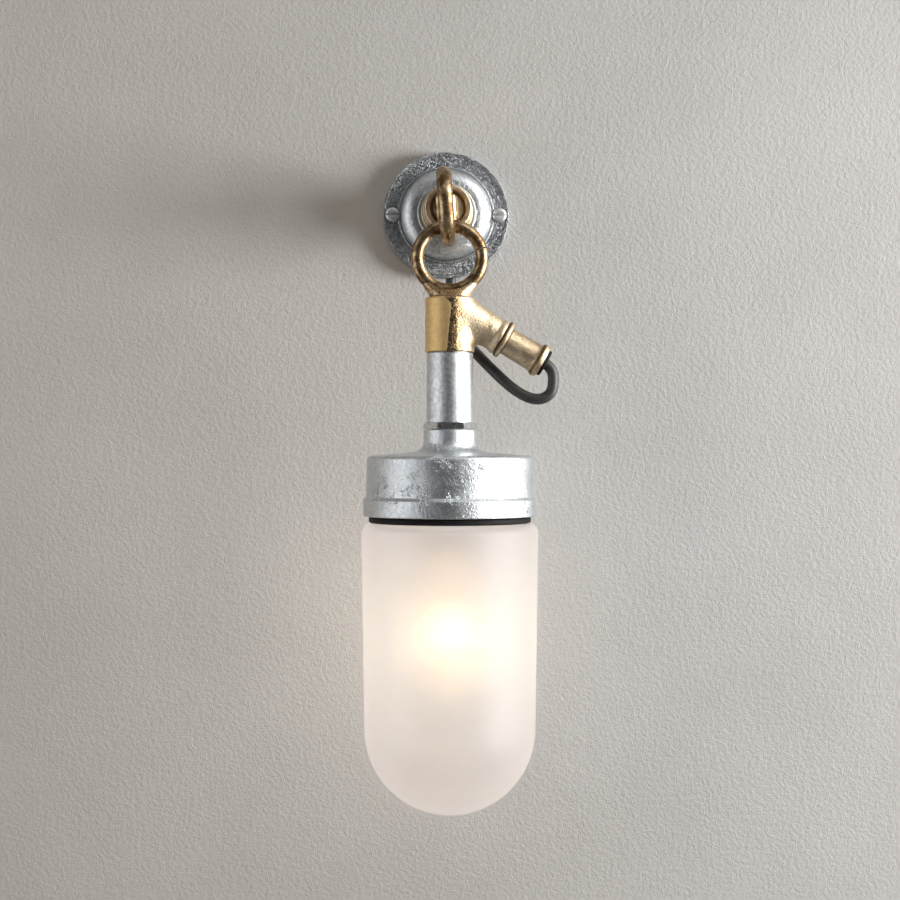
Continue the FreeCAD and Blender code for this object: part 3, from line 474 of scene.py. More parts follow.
def galvanised_casting(cast_skin):
    """Zinc over a sand casting: hammered grain, ragged dark flaws, and painted shade that darkens
    the corners.
    """
    made, shader, place = finish("Galvanised casting")
    skin = use_effect(cast_skin, place, Clouds=420, Grain=1500, Pitting=560, Pit_share=0.5)
    flaws = use_effect(cast_skin, place, Clouds=90, Grain=1900, Pitting=170, Pit_share=0.66)
    base = ranged(skin["Cloud"], 0.34, 0.66)
    base = colour_mix(base, (0.57, 0.60, 0.625), (0.72, 0.75, 0.77))
    bright = ranged(flaws["Cloud"], 0.45, 0.75, 0.0, 0.4)
    base = colour_mix(bright, base, (0.78, 0.80, 0.81))
    speck = ranged(flaws["Grain"], 0.40, 0.58, 0.5, 0.0)
    base = colour_mix(speck, base, (0.36, 0.38, 0.40))
    zinc_coat(shader, place, skin, flaws, base, 0.23, times(mottle(place, 900, 2, 0.5), 0.8))
    return made


def galvanised_plate(cast_skin):
    """The wall plate: rough dark zinc on its flat band, smoother and brighter on the dome."""
    made, shader, place = finish("Galvanised plate")
    skin = use_effect(cast_skin, place, Clouds=520, Grain=1500, Pitting=600, Pit_share=0.7)
    flaws = use_effect(cast_skin, place, Clouds=110, Grain=1900, Pitting=190, Pit_share=0.6)
    x, y, z = parts_of(place)
    band = ranged(sums("SQRT", added(times(x, x), times(z, z))), 0.0285, 0.0295)
    speck = ranged(mottle(place, 1250, 3, 0.6), 0.56, 0.68)
    dome = ranged(skin["Cloud"], 0.34, 0.66)
    dome = colour_mix(dome, (0.58, 0.605, 0.62), (0.77, 0.79, 0.80))
    rim = ranged(skin["Cloud"], 0.36, 0.64)
    rim = colour_mix(rim, (0.19, 0.20, 0.21), (0.46, 0.475, 0.49))
    rim = colour_mix(times(speck, 0.55), rim, (0.80, 0.82, 0.83))
    grain = added(mottle(place, 560, 2, 0.5), times(times(speck, band), 0.9))
    dark_speck = ranged(flaws["Grain"], 0.40, 0.62, 0.4, 0.0)
    base = colour_mix(dark_speck, colour_mix(band, dome, rim), (0.22, 0.23, 0.245))
    zinc_coat(shader, place, skin, flaws, base, 0.2, grain)
    return made


def galvanised_pipe(cast_skin):
    made, shader, place = finish("Galvanised pipe")
    skin = use_effect(cast_skin, place, Clouds=420, Grain=1700, Pitting=520, Pit_share=0.62)
    base = ranged(skin["Cloud"], 0.34, 0.66)
    base = colour_mix(base, (0.50, 0.52, 0.54), (0.76, 0.785, 0.80))
    speck = ranged(skin["Grain"], 0.38, 0.6, 0.35, 0.0)
    base = colour_mix(speck, base, (0.36, 0.375, 0.39))
    base = colour_mix(times(skin["Pits"], 0.6), base, (0.2, 0.2, 0.205))
    rough = ranged(skin["Grain"], 0.3, 0.7, 0.3, 0.46)
    feed(shader, Base_Color=base, Roughness=rough, Metallic=1.0)
    relief(shader, skin["Height"], 0.17)
    return made


def plated_steel(cast_skin, name, rough_low, rough_high):
    made, shader, place = finish(name)
    skin = use_effect(cast_skin, place, Clouds=400, Grain=2600, Pitting=900, Pit_share=0.1)
    base = ranged(skin["Cloud"], 0.3, 0.7)
    base = colour_mix(base, (0.54, 0.545, 0.55), (0.76, 0.765, 0.77))
    base = colour_mix(times(skin["Pits"], 0.5), base, (0.12, 0.11, 0.10))
    rough = ranged(skin["Grain"], 0.3, 0.7, rough_low, rough_high)
    feed(shader, Base_Color=base, Roughness=rough, Metallic=1.0)
    relief(shader, skin["Height"], 0.04)
    return made


BRASS_LIGHT = (0.64, 0.475, 0.285)
BRASS_MID = (0.36, 0.245, 0.125)
BRASS_PALE = (0.72, 0.60, 0.43)
BRASS_DARK = (0.085, 0.043, 0.017)
BRASS_WORN_EDGE = (0.82, 0.66, 0.42)
BRASS_PIT = (0.06, 0.03, 0.012)
BRASS_TARNISH = (0.20, 0.125, 0.06)
# colour of the painted shade in the entry body's lower crease
BRASS_CREASE_SHADE = (0.19, 0.12, 0.055)
# middle and reach along the gland's axis: at the joint, behind the flange and before the lip
GLAND_GROOVES = ((65.2, 1.5), (68.4, 0.9), (88.7, 1.3))


def brass_base(place, skin, pit_strength, tarnish):
    """Old brass: pale where it is rubbed, brown where it is not, nearly black in the hollows from
    tarnish and painted shade.
    """
    base = colour_mix(ranged(skin["Cloud"], 0.34, 0.66), BRASS_MID, BRASS_LIGHT)
    # painted shade in the hollows, added to the tarnish
    hollow = times(bend_mask(place, 0.495, 0.465), 0.85)
    base = colour_mix(most(tarnish, hollow), base, BRASS_DARK)
    base = colour_mix(times(bend_mask(place, 0.52, 0.57), 0.6), base, BRASS_WORN_EDGE)
    return colour_mix(times(skin["Pits"], pit_strength), base, BRASS_PIT)


def tumbled_brass(cast_skin):
    """Ring and eye: cast brass rubbed to a shine, with soft dents and brown patches."""
    made, shader, place = finish("Tumbled brass")
    skin = use_effect(cast_skin, place, Clouds=170, Grain=1300, Pitting=480, Pit_share=0.5)
    patches = ranged(mottle(place, 120, 6, 0.66, 0.6), 0.40, 0.60, 0.05, 0.9)
    # the eye's flange and shank sit in the collar's mouth: painted light there, less tarnish and
    # a paler colour against the recess's shade
    painted_light_in_mouth = ranged(parts_of(place)[1], -0.0405, -0.0392)
    tarnish = times(patches, less(1.0, times(painted_light_in_mouth, 0.75)))
    base = brass_base(place, skin, 0.75, tarnish)
    rough = ranged(skin["Grain"], 0.3, 0.7, 0.22, 0.34)
    rough = added(rough, times(patches, 0.16), times(painted_light_in_mouth, 0.28))
    base = colour_mix(times(painted_light_in_mouth, 0.55), base, BRASS_PALE)
    feed(shader, Base_Color=base, Roughness=rough, Metallic=1.0)
    dents = times(mottle(place, 210, 2), 1.6)
    relief(shader, added(dents, times(skin["Height"], 0.4)), 0.13)
    return made


def entry_brass(cast_skin):
    """Entry body: rough from the sand on the branch's side, dressed smooth on the other."""
    made, shader, place = finish("Entry body brass")
    skin = use_effect(cast_skin, place, Clouds=210, Grain=1250, Pitting=560, Pit_share=0.85)
    fine = use_effect(cast_skin, place, Clouds=300, Grain=2400, Pitting=900, Pit_share=0.3)
    x, y, z = parts_of(place)
    # the dressed side ends in a nearly upright line that leans a little and curls away at the top
    lean = added(times(z, 0.104), 0.0062)
    curl = ranged(z, -0.0600, -0.0545, 0.0, 0.0042)
    edge = added(less(less(lean, curl), x), times(mottle(place, 300, 3), 0.0008))
    dressed = times(ranged(edge, 0.0, 0.0005), ranged(z, -0.0552, -0.0549, 1.0, 0.0))
    cast = less(1.0, dressed)
    tarnish = ranged(mottle(place, 720, 5, 0.72), 0.42, 0.68, 0.05, 0.6)
    # painted light: from 4.5 mm right of the axis, toward the window, the cast side is paler and
    # less tarnished
    rubbed = ranged(x, 0.0045, 0.0105, 0.0, 0.75)
    tarnish = times(tarnish, less(1.25, rubbed))
    rough_base = colour_mix(rubbed, brass_base(place, skin, 0.5, tarnish), BRASS_PALE)
    rough_base = colour_mix(tarnish, rough_base, BRASS_TARNISH)
    # painted shade, brown, in the lower crease between barrel and branch
    brown = from_point(place, "DISTANCE", (0.0168, -0.0702, -0.0825))
    brown = ranged(brown, 0.0015, 0.0075, 0.8, 0.0)
    brown = times(brown, ranged(skin["Cloud"], 0.3, 0.6, 0.6, 1.0))
    rough_base = colour_mix(brown, rough_base, BRASS_CREASE_SHADE)
    smooth_base = ranged(fine["Cloud"], 0.3, 0.7)
    smooth_base = colour_mix(smooth_base, (0.68, 0.475, 0.22), (0.80, 0.58, 0.285))
    speck = ranged(fine["Grain"], 0.38, 0.6, 0.3, 0.0)
    smooth_base = colour_mix(speck, smooth_base, (0.46, 0.31, 0.135))
    rough_side = ranged(skin["Grain"], 0.3, 0.7, 0.21, 0.32)
    rough_side = added(rough_side, ranged(x, 0.005, 0.012, 0.0, 0.22))
    smooth_side = ranged(fine["Grain"], 0.3, 0.7, 0.52, 0.62)
    rough = added(times(dressed, smooth_side), times(cast, rough_side))
    base = colour_mix(dressed, rough_base, smooth_base)
    feed(shader, Base_Color=base, Roughness=rough, Metallic=1.0)
    lumps = added(mottle(place, 800, 2, 0.5), 1.5)
    grit = times(added(skin["Height"], lumps), cast)
    relief(shader, added(grit, times(fine["Height"], 0.12)), 0.22)
    return made


def turned_brass(cast_skin, tool_marks, name, axis, worn, grooves=()):
    """Turned brass with fine rings round its axis, and tarnish that gathers in its grooves."""
    made, shader, place = finish(name)
    skin = use_effect(cast_skin, place, Clouds=190, Grain=1900, Pitting=560, Pit_share=worn)
    along = from_point(place, "DOT_PRODUCT", axis)
    marks = use_effect(tool_marks, place, Along=along, Fineness=3600)
    tarnish = ranged(mottle(place, 300, 6, 0.72), 0.46, 0.68, 0.0, worn)
    for middle, reach in grooves:
        off = sums("ABSOLUTE", less(along, middle * MM))
        off = added(off, times(less(marks["Smear"], 0.5), 0.0015))
        tarnish = most(tarnish, ranged(off, reach * 0.4 * MM, reach * MM, 0.9, 0.0))
    speckle = times(ranged(skin["Grain"], 0.36, 0.56, 1.0, 0.0), worn)
    base = brass_base(place, skin, 0.75, most(tarnish, speckle))
    base = colour_mix(times(less(1.0, tarnish), 0.5), base, BRASS_PALE)
    rough = ranged(marks["Smear"], 0.3, 0.7, 0.34, 0.5)
    rough = added(rough, times(tarnish, 0.15))
    feed(shader, Base_Color=base, Roughness=rough, Metallic=1.0)
    height = added(times(marks["Lines"], 0.25), times(skin["Height"], worn * 1.7))
    relief(shader, height, 0.16)
    return made


def dull_solid(name, light, dark, rough_low, rough_high, scale, grain, depth, shine=0.5):
    """A plain moulded or coated surface with soft variation and a fine skin."""
    made, shader, place = finish(name)
    fine = mottle(place, grain, 3)
    base = colour_mix(ranged(mottle(place, scale, 4), 0.3, 0.7), dark, light)
    rough = ranged(fine, 0.3, 0.7, rough_low, rough_high)
    feed(shader, Base_Color=base, Roughness=rough, Specular_IOR_Level=shine)
    relief(shader, fine, depth)
    return made


# the lamp's filament and the ends of the glow painted on the well glass, in metres
FILAMENT_Z = -0.2475
GLOW_TOP = -0.1850
GLOW_FOOT = -0.3250


def frosted_glass():
    """Etched glass with the lamp's warm light painted on as a glow, brightest level with the
    filament.
    """
    made, shader, place = finish("Frosted well glass")
    z = parts_of(place)[2]
    streaks = mottle(place, 60, 3)
    etch = mottle(place, 2600, 2)
    base = ranged(streaks, 0.3, 0.7)
    base = colour_mix(base, (0.48, 0.475, 0.465), (0.50, 0.495, 0.485))
    # painted glow: emission on the glass itself, fading above and below the filament
    above = ranged(z, FILAMENT_Z, GLOW_TOP, 1.0, 0.0)
    below = ranged(z, FILAMENT_Z, GLOW_FOOT, 1.0, 0.0)
    level = added(times(above, below), times(less(streaks, 0.5), 0.06))
    glow = colour_mix(level, (0.243, 0.215, 0.197), (0.318, 0.283, 0.252))
    feed(shader, Base_Color=base, Roughness=ranged(etch, 0.3, 0.7, 0.36, 0.42), IOR=1.5)
    feed(shader, Transmission_Weight=0.8, Emission_Color=glow, Emission_Strength=1.0)
    relief(shader, etch, 0.02)
    return made


def near_filament(place, near, far, lit):
    """How strongly the filament lights a place, from how far above or below it is."""
    away = sums("ABSOLUTE", added(parts_of(place)[2], -FILAMENT_Z))
    return ranged(away, near, far, 1.0, lit)


def lamp_glass():
    made, shader, place = finish("Lit lamp glass")
    cloud = mottle(place, 90, 2)
    base = colour_mix(cloud, (0.95, 0.93, 0.9), (0.98, 0.97, 0.95))
    feed(shader, Base_Color=base, Roughness=ranged(cloud, 0.3, 0.7, 0.04, 0.1))
    feed(shader, Alpha=ranged(cloud, 0.3, 0.7, 0.2, 0.3), Transmission_Weight=0.5, IOR=1.47)
    glow = near_filament(place, 0.0, 0.04, 0.05)
    glow = colour_mix(glow, (0.3, 0.2, 0.12), (1.0, 0.8, 0.58))
    feed(shader, Emission_Color=glow, Emission_Strength=0.4)
    return made


def lamp_stem_glass():
    """Glass foot inside the lamp, lit by the filament that it carries."""
    made, shader, place = finish("Lamp stem glass")
    cloud = mottle(place, 200, 4)
    base = colour_mix(ranged(cloud, 0.3, 0.7), (0.7, 0.69, 0.67), (0.8, 0.79, 0.76))
    glow = near_filament(place, 0.002, 0.015, 0.0)
    glow = colour_mix(glow, (0.02, 0.012, 0.006), (1.0, 0.74, 0.46))
    feed(shader, Base_Color=base, Roughness=ranged(cloud, 0.3, 0.7, 0.08, 0.2))
    feed(shader, Emission_Color=glow, Emission_Strength=14)
    return made


def lit_filament():
    """A coil, hot in the middle and cooler where its supports hold it."""
    made, shader, place = finish("Lit filament")
    turns = add_node(place, "TexWave")
    turns.bands_direction = "X"
    feed(turns, Scale=900, Distortion=0.4, Vector=place)
    hot = colour_mix(turns.outputs["Fac"], (1.0, 0.62, 0.28), (1.0, 0.78, 0.45))
    cooler = ranged(sums("ABSOLUTE", parts_of(place)[0]), 0.002, 0.007)
    glow = colour_mix(cooler, hot, (0.12, 0.06, 0.02))
    feed(shader, Emission_Color=glow, Emission_Strength=1350, Base_Color=(0.3, 0.25, 0.2))
    return made


def screwed_metal(name, light, dark, pitch, depth):
    """Metal with a rolled thread round the lamp's axis."""
    made, shader, place = finish(name)
    x, y, z = parts_of(place)
    angle = sums("ARCTAN2", x, added(y, -LAMP.y * MM))
    turns = added(sums("DIVIDE", z, pitch * MM), sums("DIVIDE", angle, math.tau))
    smear = ranged(mottle(place, 300, 4), 0.3, 0.7)
    base = colour_mix(smear, dark, light)
    feed(shader, Base_Color=base, Roughness=added(times(smear, 0.15), 0.25), Metallic=1.0)
    relief(shader, sums("SINE", times(turns, math.tau)), depth)
    return made


def wall_paint():
    """Painted plaster, seen from the front only."""
    made, shader, place = finish("Painted plaster")
    base = ranged(mottle(place, 9, 3), 0.3, 0.7)
    base = colour_mix(base, (0.612, 0.60, 0.577), (0.652, 0.64, 0.62))
    feed(shader, Base_Color=base, Roughness=0.85)
    orange_peel = mottle(place, 420, 3, 0.6)
    relief(shader, added(orange_peel, times(mottle(place, 1500, 2), 0.6)), 0.6)
    either = add_node(shader, "MixShader")
    put(add_node(shader, "NewGeometry").outputs["Backfacing"], either.inputs["Fac"])
    put(shader.outputs["BSDF"], either.inputs[1])
    put(add_node(shader, "BsdfTransparent").outputs["BSDF"], either.inputs[2])
    surface = made.node_tree.nodes["Material Output"].inputs["Surface"]
    put(either.outputs["Shader"], surface)
    return made


def paint(piece, material):
    piece.data.materials.clear()
    piece.data.materials.append(material)


# Flex: the listed route, in millimetres, from the plate to the gland
PLATE_ROUTE = [(3.15, -3.7, -24.0), (3.15, -3.7, -41.0), (3.6, -9.5, -57.0), (5.5, -23.0, -70.0)]
SEAM = (8.25, -32.0, -75.0)
GLAND_ROUTE = [
    (11.0, -41.0, -80.0), (24.0, -53.0, -95.0), (38.0, -60.0, -108.8), (50.0, -63.2, -114.4),
    (58.8, -64.0, -110.8), (60.2, -63.6, -100.9), (58.42, -63.0, -94.73),
    (54.13, -63.0, -92.25),
]


def lay_flex(name, route, material, node):
    line = bpy.data.curves.new(name + "_line", "CURVE")
    line.dimensions = "3D"
    line.resolution_u = 24
    spline = line.splines.new("NURBS")
    spline.points.add(len(route) - 1)
    for point, (x, y, z) in zip(spline.points, route):
        point.co = (x * MM, y * MM, z * MM, 1)
    spline.order_u = 3
    spline.use_endpoint_u = True
    flex = bpy.data.objects.new(name, line)
    bpy.context.collection.objects.link(flex)
    bare = bpy.data.meshes.new_from_object(flex)
    bpy.data.meshes.remove(bare)
    line.bevel_depth = FLEX_R * MM
    line.bevel_resolution = 10
    line.use_fill_caps = True
    pick_up(flex)
    bpy.ops.object.convert(target="MESH")
    flex = bpy.context.object
    flex.name = name
    outward(flex)
    smooth(flex, 40)
    paint(flex, material)
    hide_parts(node)
    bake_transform(flex)
    return flex


# Pieces of the wall fixing
def make_wall_plate(material):
    plate = turned(
        "wall_plate_casting",
        [
            (0, 12.3, 0), (13.6, 12.3, 0.3), (13.6, 20.3, 0.3), (17.5, 20.3, 0.5),
            (17.5, 18.8, 0.35), (18.4, 18.8, 0), (27.8, 18.8, 9.2), (27.8, 9.1, 0.2),
            (28.3, 9.1, 0.2), (28.3, 9.8, 0.35), (29.3, 9.8, 0.35), (29.3, 8.6, 0.3),
            (36.5, 8.6, 0.25), (37.1, 9.2, 0.35), (38.1, 9.2, 0.35), (38.1, 0, 0.25),
            (34.6, 0, 0.3), (34.6, 4.9, 0.8), (24.3, 4.9, 0.8), (24.3, 15.3, 5.7),
            (17.5, 15.3, 0.5), (17.5, 9.3, 0.8), (0, 9.3, 0),
        ],
        WALL,
        OUT,
        160,
    )
    for side in (-1, 1):
        place = RIGHT * (side * SCREW_OUT)
        boss = rod("boss", 6.2, place + OUT * 0.05, place + OUT * 5.6)
        carve(boss, rod("round_tool", 37.0, WALL - OUT, OUT * 8, 160), "INTERSECT")
        carve(plate, boss, "UNION")
    notch = rod("notch_roof_tool", 3.5, Vector((3.15, -3.7, -40.1)), Vector((3.15, -3.7, -22.3)))
    below = block("notch_tool", Vector((7.0, 5.7, 17.8)), Vector((3.15, -0.85, -31.2)))
    carve(notch, below, "UNION")
    carve(plate, notch)
    for side in (-1, 1):
        place = RIGHT * (side * SCREW_OUT)
        carve(plate, rod("hole_tool", 2.75, place - OUT * 2, place + OUT * 12))
        carve(plate, rod("seat_tool", 5.0, place + OUT * 8.6, place + OUT * 12))
    soften(plate, 0.15)
    paint(plate, material)
    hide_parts("wall_plate")
    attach(plate, "wall_fixing")


def make_plate_screws(material):
    seat = Vector((-SCREW_OUT, -8.6, 0))
    screw = turned(
        "plate_screw_left",
        [
            (0, 3.0, 0), (4.35, 3.0, 1.7), (4.35, 0, 0.1), (2.4, 0, 0.15), (2.4, -8.6, 0.1),
            (2.1, -8.9, 0), (2.1, -32.6, 0), (0, -35.6, 0),
        ],
        seat,
        OUT,
        64,
    )
    carve(screw, block("slot_tool", Vector((12, 2.6, 1.2)), seat + OUT * 3))
    soften(screw, 0.12)
    paint(screw, material)
    pick_up(screw)
    other = screw.copy()
    other.data = screw.data.copy()
    other.name = "plate_screw_right"
    bpy.context.collection.objects.link(other)
    other.location = RIGHT * 2 * SCREW_OUT * MM
    settle(other)
    for piece in (screw, other):
        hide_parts("plate_screws")
        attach(piece, "wall_fixing")


def make_collar(material):
    collar = turned(
        "collar_nut_turned",
        [
            (12.2, 12.3, 0), (13.6, 12.3, 0.2), (13.6, 20.3, 0), (15.5, 20.3, 0.2),
            (15.5, 25.3, 0.5), (14.5, 25.3, 0.25), (14.5, 36.6, 0.5), (13.7, 36.6, 0.25),
            (13.7, 37.8, 0.25), (14.0, 37.8, 0.15), (14.0, 42.0, 1.3), (11.3, 42.0, 0.25),
            (10.4, 41.1, 0.4), (10.4, 38.6, 0.2), (12.2, 38.6, 0),
        ],
        WALL,
        OUT,
        128,
    )
    paint(collar, material)
    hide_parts("collar_nut")
    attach(collar, "wall_fixing")


def make_wall_eye(material):
    eye = bead_ring("wall_eye_casting", EYE_R, EYE_WIRE_R, EYE_MIDDLE, (0, math.pi / 2, 0))
    open_up(eye)
    bpy.ops.transform.resize(value=(1.12, 1, 1), center_override=EYE_MIDDLE * MM)
    put_down()
    # root: an oblong foot, drawn in to a shoulder and on to its tip inside the ring
    foot_y, waist_y, shoulder_y, tip_y = -38.4, -40.2, -42.9, -46.95
    foot_wide, foot_high, shoulder_wide, shoulder_high = 13.0, 18.5, 5.0, 15.0
    shoulder = Vector((0, shoulder_y, -0.6)) * MM
    lean = Matrix.Rotation(math.radians(-3.2), 4, "Z")
    eye.matrix_world = Matrix.Translation(shoulder) @ lean @ Matrix.Translation(-shoulder)
    settle(eye)
    foot = Vector((foot_wide, foot_y - waist_y, foot_high))
    root = block("root", foot, Vector((0, (foot_y + waist_y) / 2, -0.6)))
    choose(root, lambda at: at.y < waist_y + 0.1)
    bpy.ops.mesh.select_mode(type="FACE")
    draw_out(Vector((0, shoulder_y - waist_y, 0)))
    narrower = (shoulder_wide / foot_wide, 1, shoulder_high / foot_high)
    bpy.ops.transform.resize(value=narrower, center_override=shoulder)
    draw_out(Vector((0, tip_y - shoulder_y, 0)))
    put_down()
    soften(root, 0.8, 35, 3)
    carve(root, rod("eye_tool", 15.1, EYE_MIDDLE - RIGHT * 14, EYE_MIDDLE + RIGHT * 14, 96))
    fuse(eye, root)
    settle(eye)
    pivot = Matrix.Translation(HANG * MM)
    eye.matrix_world = pivot @ Matrix.Rotation(math.radians(-4), 4, "Y") @ pivot.inverted()
    settle(eye)
    shank = turned(
        "shank",
        [
            (0, 16.4, 0), (7, 16.4, 0.8), (7, 34.4, 0), (11.95, 34.4, 0),
            (11.95, 38.4, 0), (10.15, 38.4, 0), (8.95, 39.6, 0), (0, 39.6, 0),
        ],
        WALL,
        OUT,
        96,
    )
    fuse(eye, shank)
    cast_whole(eye, 0.34, 6)
    # clears the collar's lip round the flange
    mouth = [(10.15, 38.4, 0), (16, 38.4, 0), (16, 43.5, 0), (10.15, 43.5, 0)]
    carve(eye, turned("mouth_tool", mouth, WALL, OUT, 96))
    smooth(eye, 35)
    paint(eye, material)
    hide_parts("wall_eye")
    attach(eye, "eye")


# Pieces of the lamp
def make_hanging_ring(material):
    put_down()
    half_gap = math.degrees(0.2 / RING_R)
    opening = math.radians(15 + half_gap)
    middle = RING_MIDDLE * MM
    start = middle + Vector((math.cos(opening), 0, math.sin(opening))) * RING_R * MM
    bpy.ops.mesh.primitive_circle_add(
        vertices=40,
        radius=RING_WIRE_R * MM,
        fill_type="NGON",
        location=start,
        rotation=(0, -opening, 0),
    )
    ring = bpy.context.object
    ring.name = "hanging_ring_rod"
    settle(ring)
    open_up(ring)
    sweep = -(math.tau - 2 * math.radians(half_gap))
    bpy.ops.mesh.spin(steps=156, angle=sweep, center=middle, axis=(0, 1, 0))
    outward(ring, 1e-7)
    soften(ring, 0.5, 50, 3)
    paint(ring, material)
    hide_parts("hanging_ring")
    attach(ring, "lamp")


def along_branch(reach):
    return BRANCH_FOOT + BRANCH * reach


def hoop(radius, height):
    """A flat circle of points round the lamp's axis."""
    put_down()
    bpy.ops.mesh.primitive_circle_add(
        vertices=64, radius=radius * MM, location=(LAMP + UP * height) * MM
    )
    piece = bpy.context.object
    settle(piece)
    return piece


def make_branch():
    """As deep as the barrel where it leaves it, so that their fronts run together."""
    foot_r, foot_deep, waist_at, waist_r, waist_deep = 12.6, 14.1, 24, 10.25, 9.9
    waist = along_branch(waist_at)
    branch = rod("branch", foot_r, BRANCH_FOOT, waist, 96, waist_r)
    choose(branch, lambda at: (at - BRANCH_FOOT).dot(BRANCH) < 1)
    deeper = (1, foot_deep / foot_r, 1)
    bpy.ops.transform.resize(value=deeper, center_override=BRANCH_FOOT * MM)
    choose(branch, lambda at: (at - BRANCH_FOOT).dot(BRANCH) > waist_at - 1)
    bpy.ops.mesh.select_mode(type="FACE")
    bpy.ops.transform.resize(value=(1, waist_deep / waist_r, 1), center_override=waist * MM)
    draw_out(BRANCH * 7.6)
    bpy.ops.transform.resize(value=(0.93, 0.93, 0.93), center_override=along_branch(31.6) * MM)
    put_down()
    above = block("above_tool", Vector((60, 40, 20)), Vector((10, -63, BODY_TOP + 10)))
    carve(branch, above)
    return branch


def make_neck():
    """Runs from the barrel's round top to a long saddle under the ring."""
    neck = hoop(11.3, BODY_TOP - 0.3)
    saddle = hoop(3.9, -46.6)
    for side in (-1, 1):
        choose(saddle, lambda at: at.x * side > 0.1)
        bpy.ops.transform.translate(value=RIGHT * side * 12.5 * MM)
        put_down()
    fuse(neck, saddle)
    open_up(neck)
    bpy.ops.mesh.bridge_edge_loops(number_cuts=10)
    bpy.ops.mesh.select_all(action="DESELECT")
    bpy.ops.mesh.select_non_manifold()
    bpy.ops.mesh.edge_face_add()
    outward(neck)
    upright = (math.pi / 2, 0, 0)
    carve(neck, bead_ring("wire_tool", RING_R, RING_WIRE_R + 0.02, RING_MIDDLE, upright))
    carve(neck, rod("loop_tool", RING_R, RING_MIDDLE - OUT * 14, RING_MIDDLE + OUT * 14, 128))
    return neck


def make_entry_body(material):
    body = turned(
        "entry_body_casting",
        [
            (0, BODY_BOTTOM, 0), (BARREL_R, BODY_BOTTOM, 0.6),
            (BARREL_R, BODY_TOP, 1.3), (0, BODY_TOP, 0),
        ],
        LAMP,
        UP,
        128,
    )
    rim = [(0, 29.9, 0), (9.2, 29.9, 0), (10.5, 32.2, 1.5), (10.5, 34.2, 0.6), (0, 34.2, 0)]
    branch = make_branch()
    rim = turned("rim", rim, BRANCH_FOOT, BRANCH, 96)
    fuse(body, branch, rim, make_neck())
    cast_whole(body, 0.38, 3)
    # drops the chips that the ring's groove leaves at the neck's two horns
    choose(body, lambda at: at.z < BODY_BOTTOM + 0.5)
    bpy.ops.mesh.select_linked()
    bpy.ops.mesh.select_all(action="INVERT")
    bpy.ops.mesh.delete(type="VERT")

    # the branch runs into the barrel without a seam: the inner corner is rubbed out by hand
    def near_seam(at):
        beyond = math.hypot(at.x, at.y - LAMP.y) - BARREL_R
        by_branch = -7 < beyond < 11 and at.x > 3.5 and (at - BRANCH_FOOT).dot(BRANCH) > 4
        return by_branch and BODY_BOTTOM + 1.6 < at.z < BODY_TOP - 1.8

    choose(body, near_seam)
    bpy.ops.mesh.vertices_smooth(factor=0.5, repeat=160, xaxis=False, zaxis=False)
    bpy.ops.mesh.vertices_smooth(factor=0.5, repeat=220)
    put_down()
    below = LAMP + UP * (BODY_BOTTOM - 2)
    carve(body, rod("bore_tool", 9.6, below, LAMP + UP * (BODY_TOP - 6)))
    carve(body, rod("thread_tool", 12.0, below, LAMP + UP * (BODY_BOTTOM + 9)))
    carve(body, rod("flex_way_tool", 4.2, along_branch(2), along_branch(36)))
    carve(body, rod("gland_way_tool", 7.2, along_branch(17.4), along_branch(36)))
    smooth(body, 35)
    paint(body, material)
    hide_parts("entry_body")
    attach(body, "lamp")


def make_gland(brass, rubber):
    nut = turned(
        "gland_nut_turned",
        [
            (4.0, 24.9, 0), (7.2, 24.9, 0.3), (7.2, 34.4, 0), (11.2, 34.4, 1.5),
            (11.2, 37.8, 1.6), (7.9, 37.8, 0.6), (8.4, 56.8, 5.2), (10.3, 59.4, 0.9),
            (9.35, 62.0, 0.9), (6.3, 62.0, 0.2), (6.3, 53.0, 0), (4.0, 53.0, 0),
        ],
        BRANCH_FOOT,
        BRANCH,
        96,
    )
    paint(nut, brass)
    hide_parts("gland_nut")
    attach(nut, "lamp")
    bush = turned(
        "mouth_bush_ring",
        [
            (FLEX_R, 53.0, 0), (6.3, 53.0, 0.5), (6.3, 62.05, 0),
            (7.9, 62.05, 0.5), (7.9, 64.0, 0.9), (FLEX_R, 64.0, 0.4),
        ],
        BRANCH_FOOT,
        BRANCH,
        64,
    )
    paint(bush, rubber)
    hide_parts("mouth_bush")
    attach(bush, "lamp")


def make_stem(material, steel):
    stem = turned(
        "stem_pipe",
        [
            (10.8, -126.95, 0.2), (13.45, -126.95, 0.35), (13.45, -86.95, 0.35),
            (12.0, -86.95, 0.2), (12.0, -77.45, 0.3), (10.8, -77.45, 0),
        ],
        LAMP,
        UP,
        128,
    )
    paint(stem, material)
    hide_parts("stem_tube")
    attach(stem, "lamp")
    across_flats, high, chamfer_in, chamfer_up = 26.6, 3.8, 1.0, 0.5
    corner = across_flats / math.sqrt(3)
    foot = LAMP + UP * -130.75
    put_down()
    bpy.ops.mesh.primitive_cylinder_add(
        vertices=6,
        radius=corner * MM,
        depth=high * MM,
        location=(foot + UP * high / 2) * MM,
        rotation=(0, 0, math.radians(30)),
    )
    nut = bpy.context.object
    nut.name = "lock_nut_hexagon"
    settle(nut)
    chamfer = turned(
        "chamfer_tool",
        [
            (0, 0, 0), (corner - chamfer_in, 0, 0), (corner, chamfer_up, 0),
            (corner, high - chamfer_up, 0), (corner - chamfer_in, high, 0), (0, high, 0),
        ],
        foot,
        UP,
        96,
    )
    carve(nut, chamfer, "INTERSECT")
    carve(nut, rod("nut_bore_tool", 10.8, foot - UP, foot + UP * 5))
    soften(nut, 0.15, 25)
    paint(nut, steel)
    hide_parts("lock_nut")
    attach(nut, "lamp")


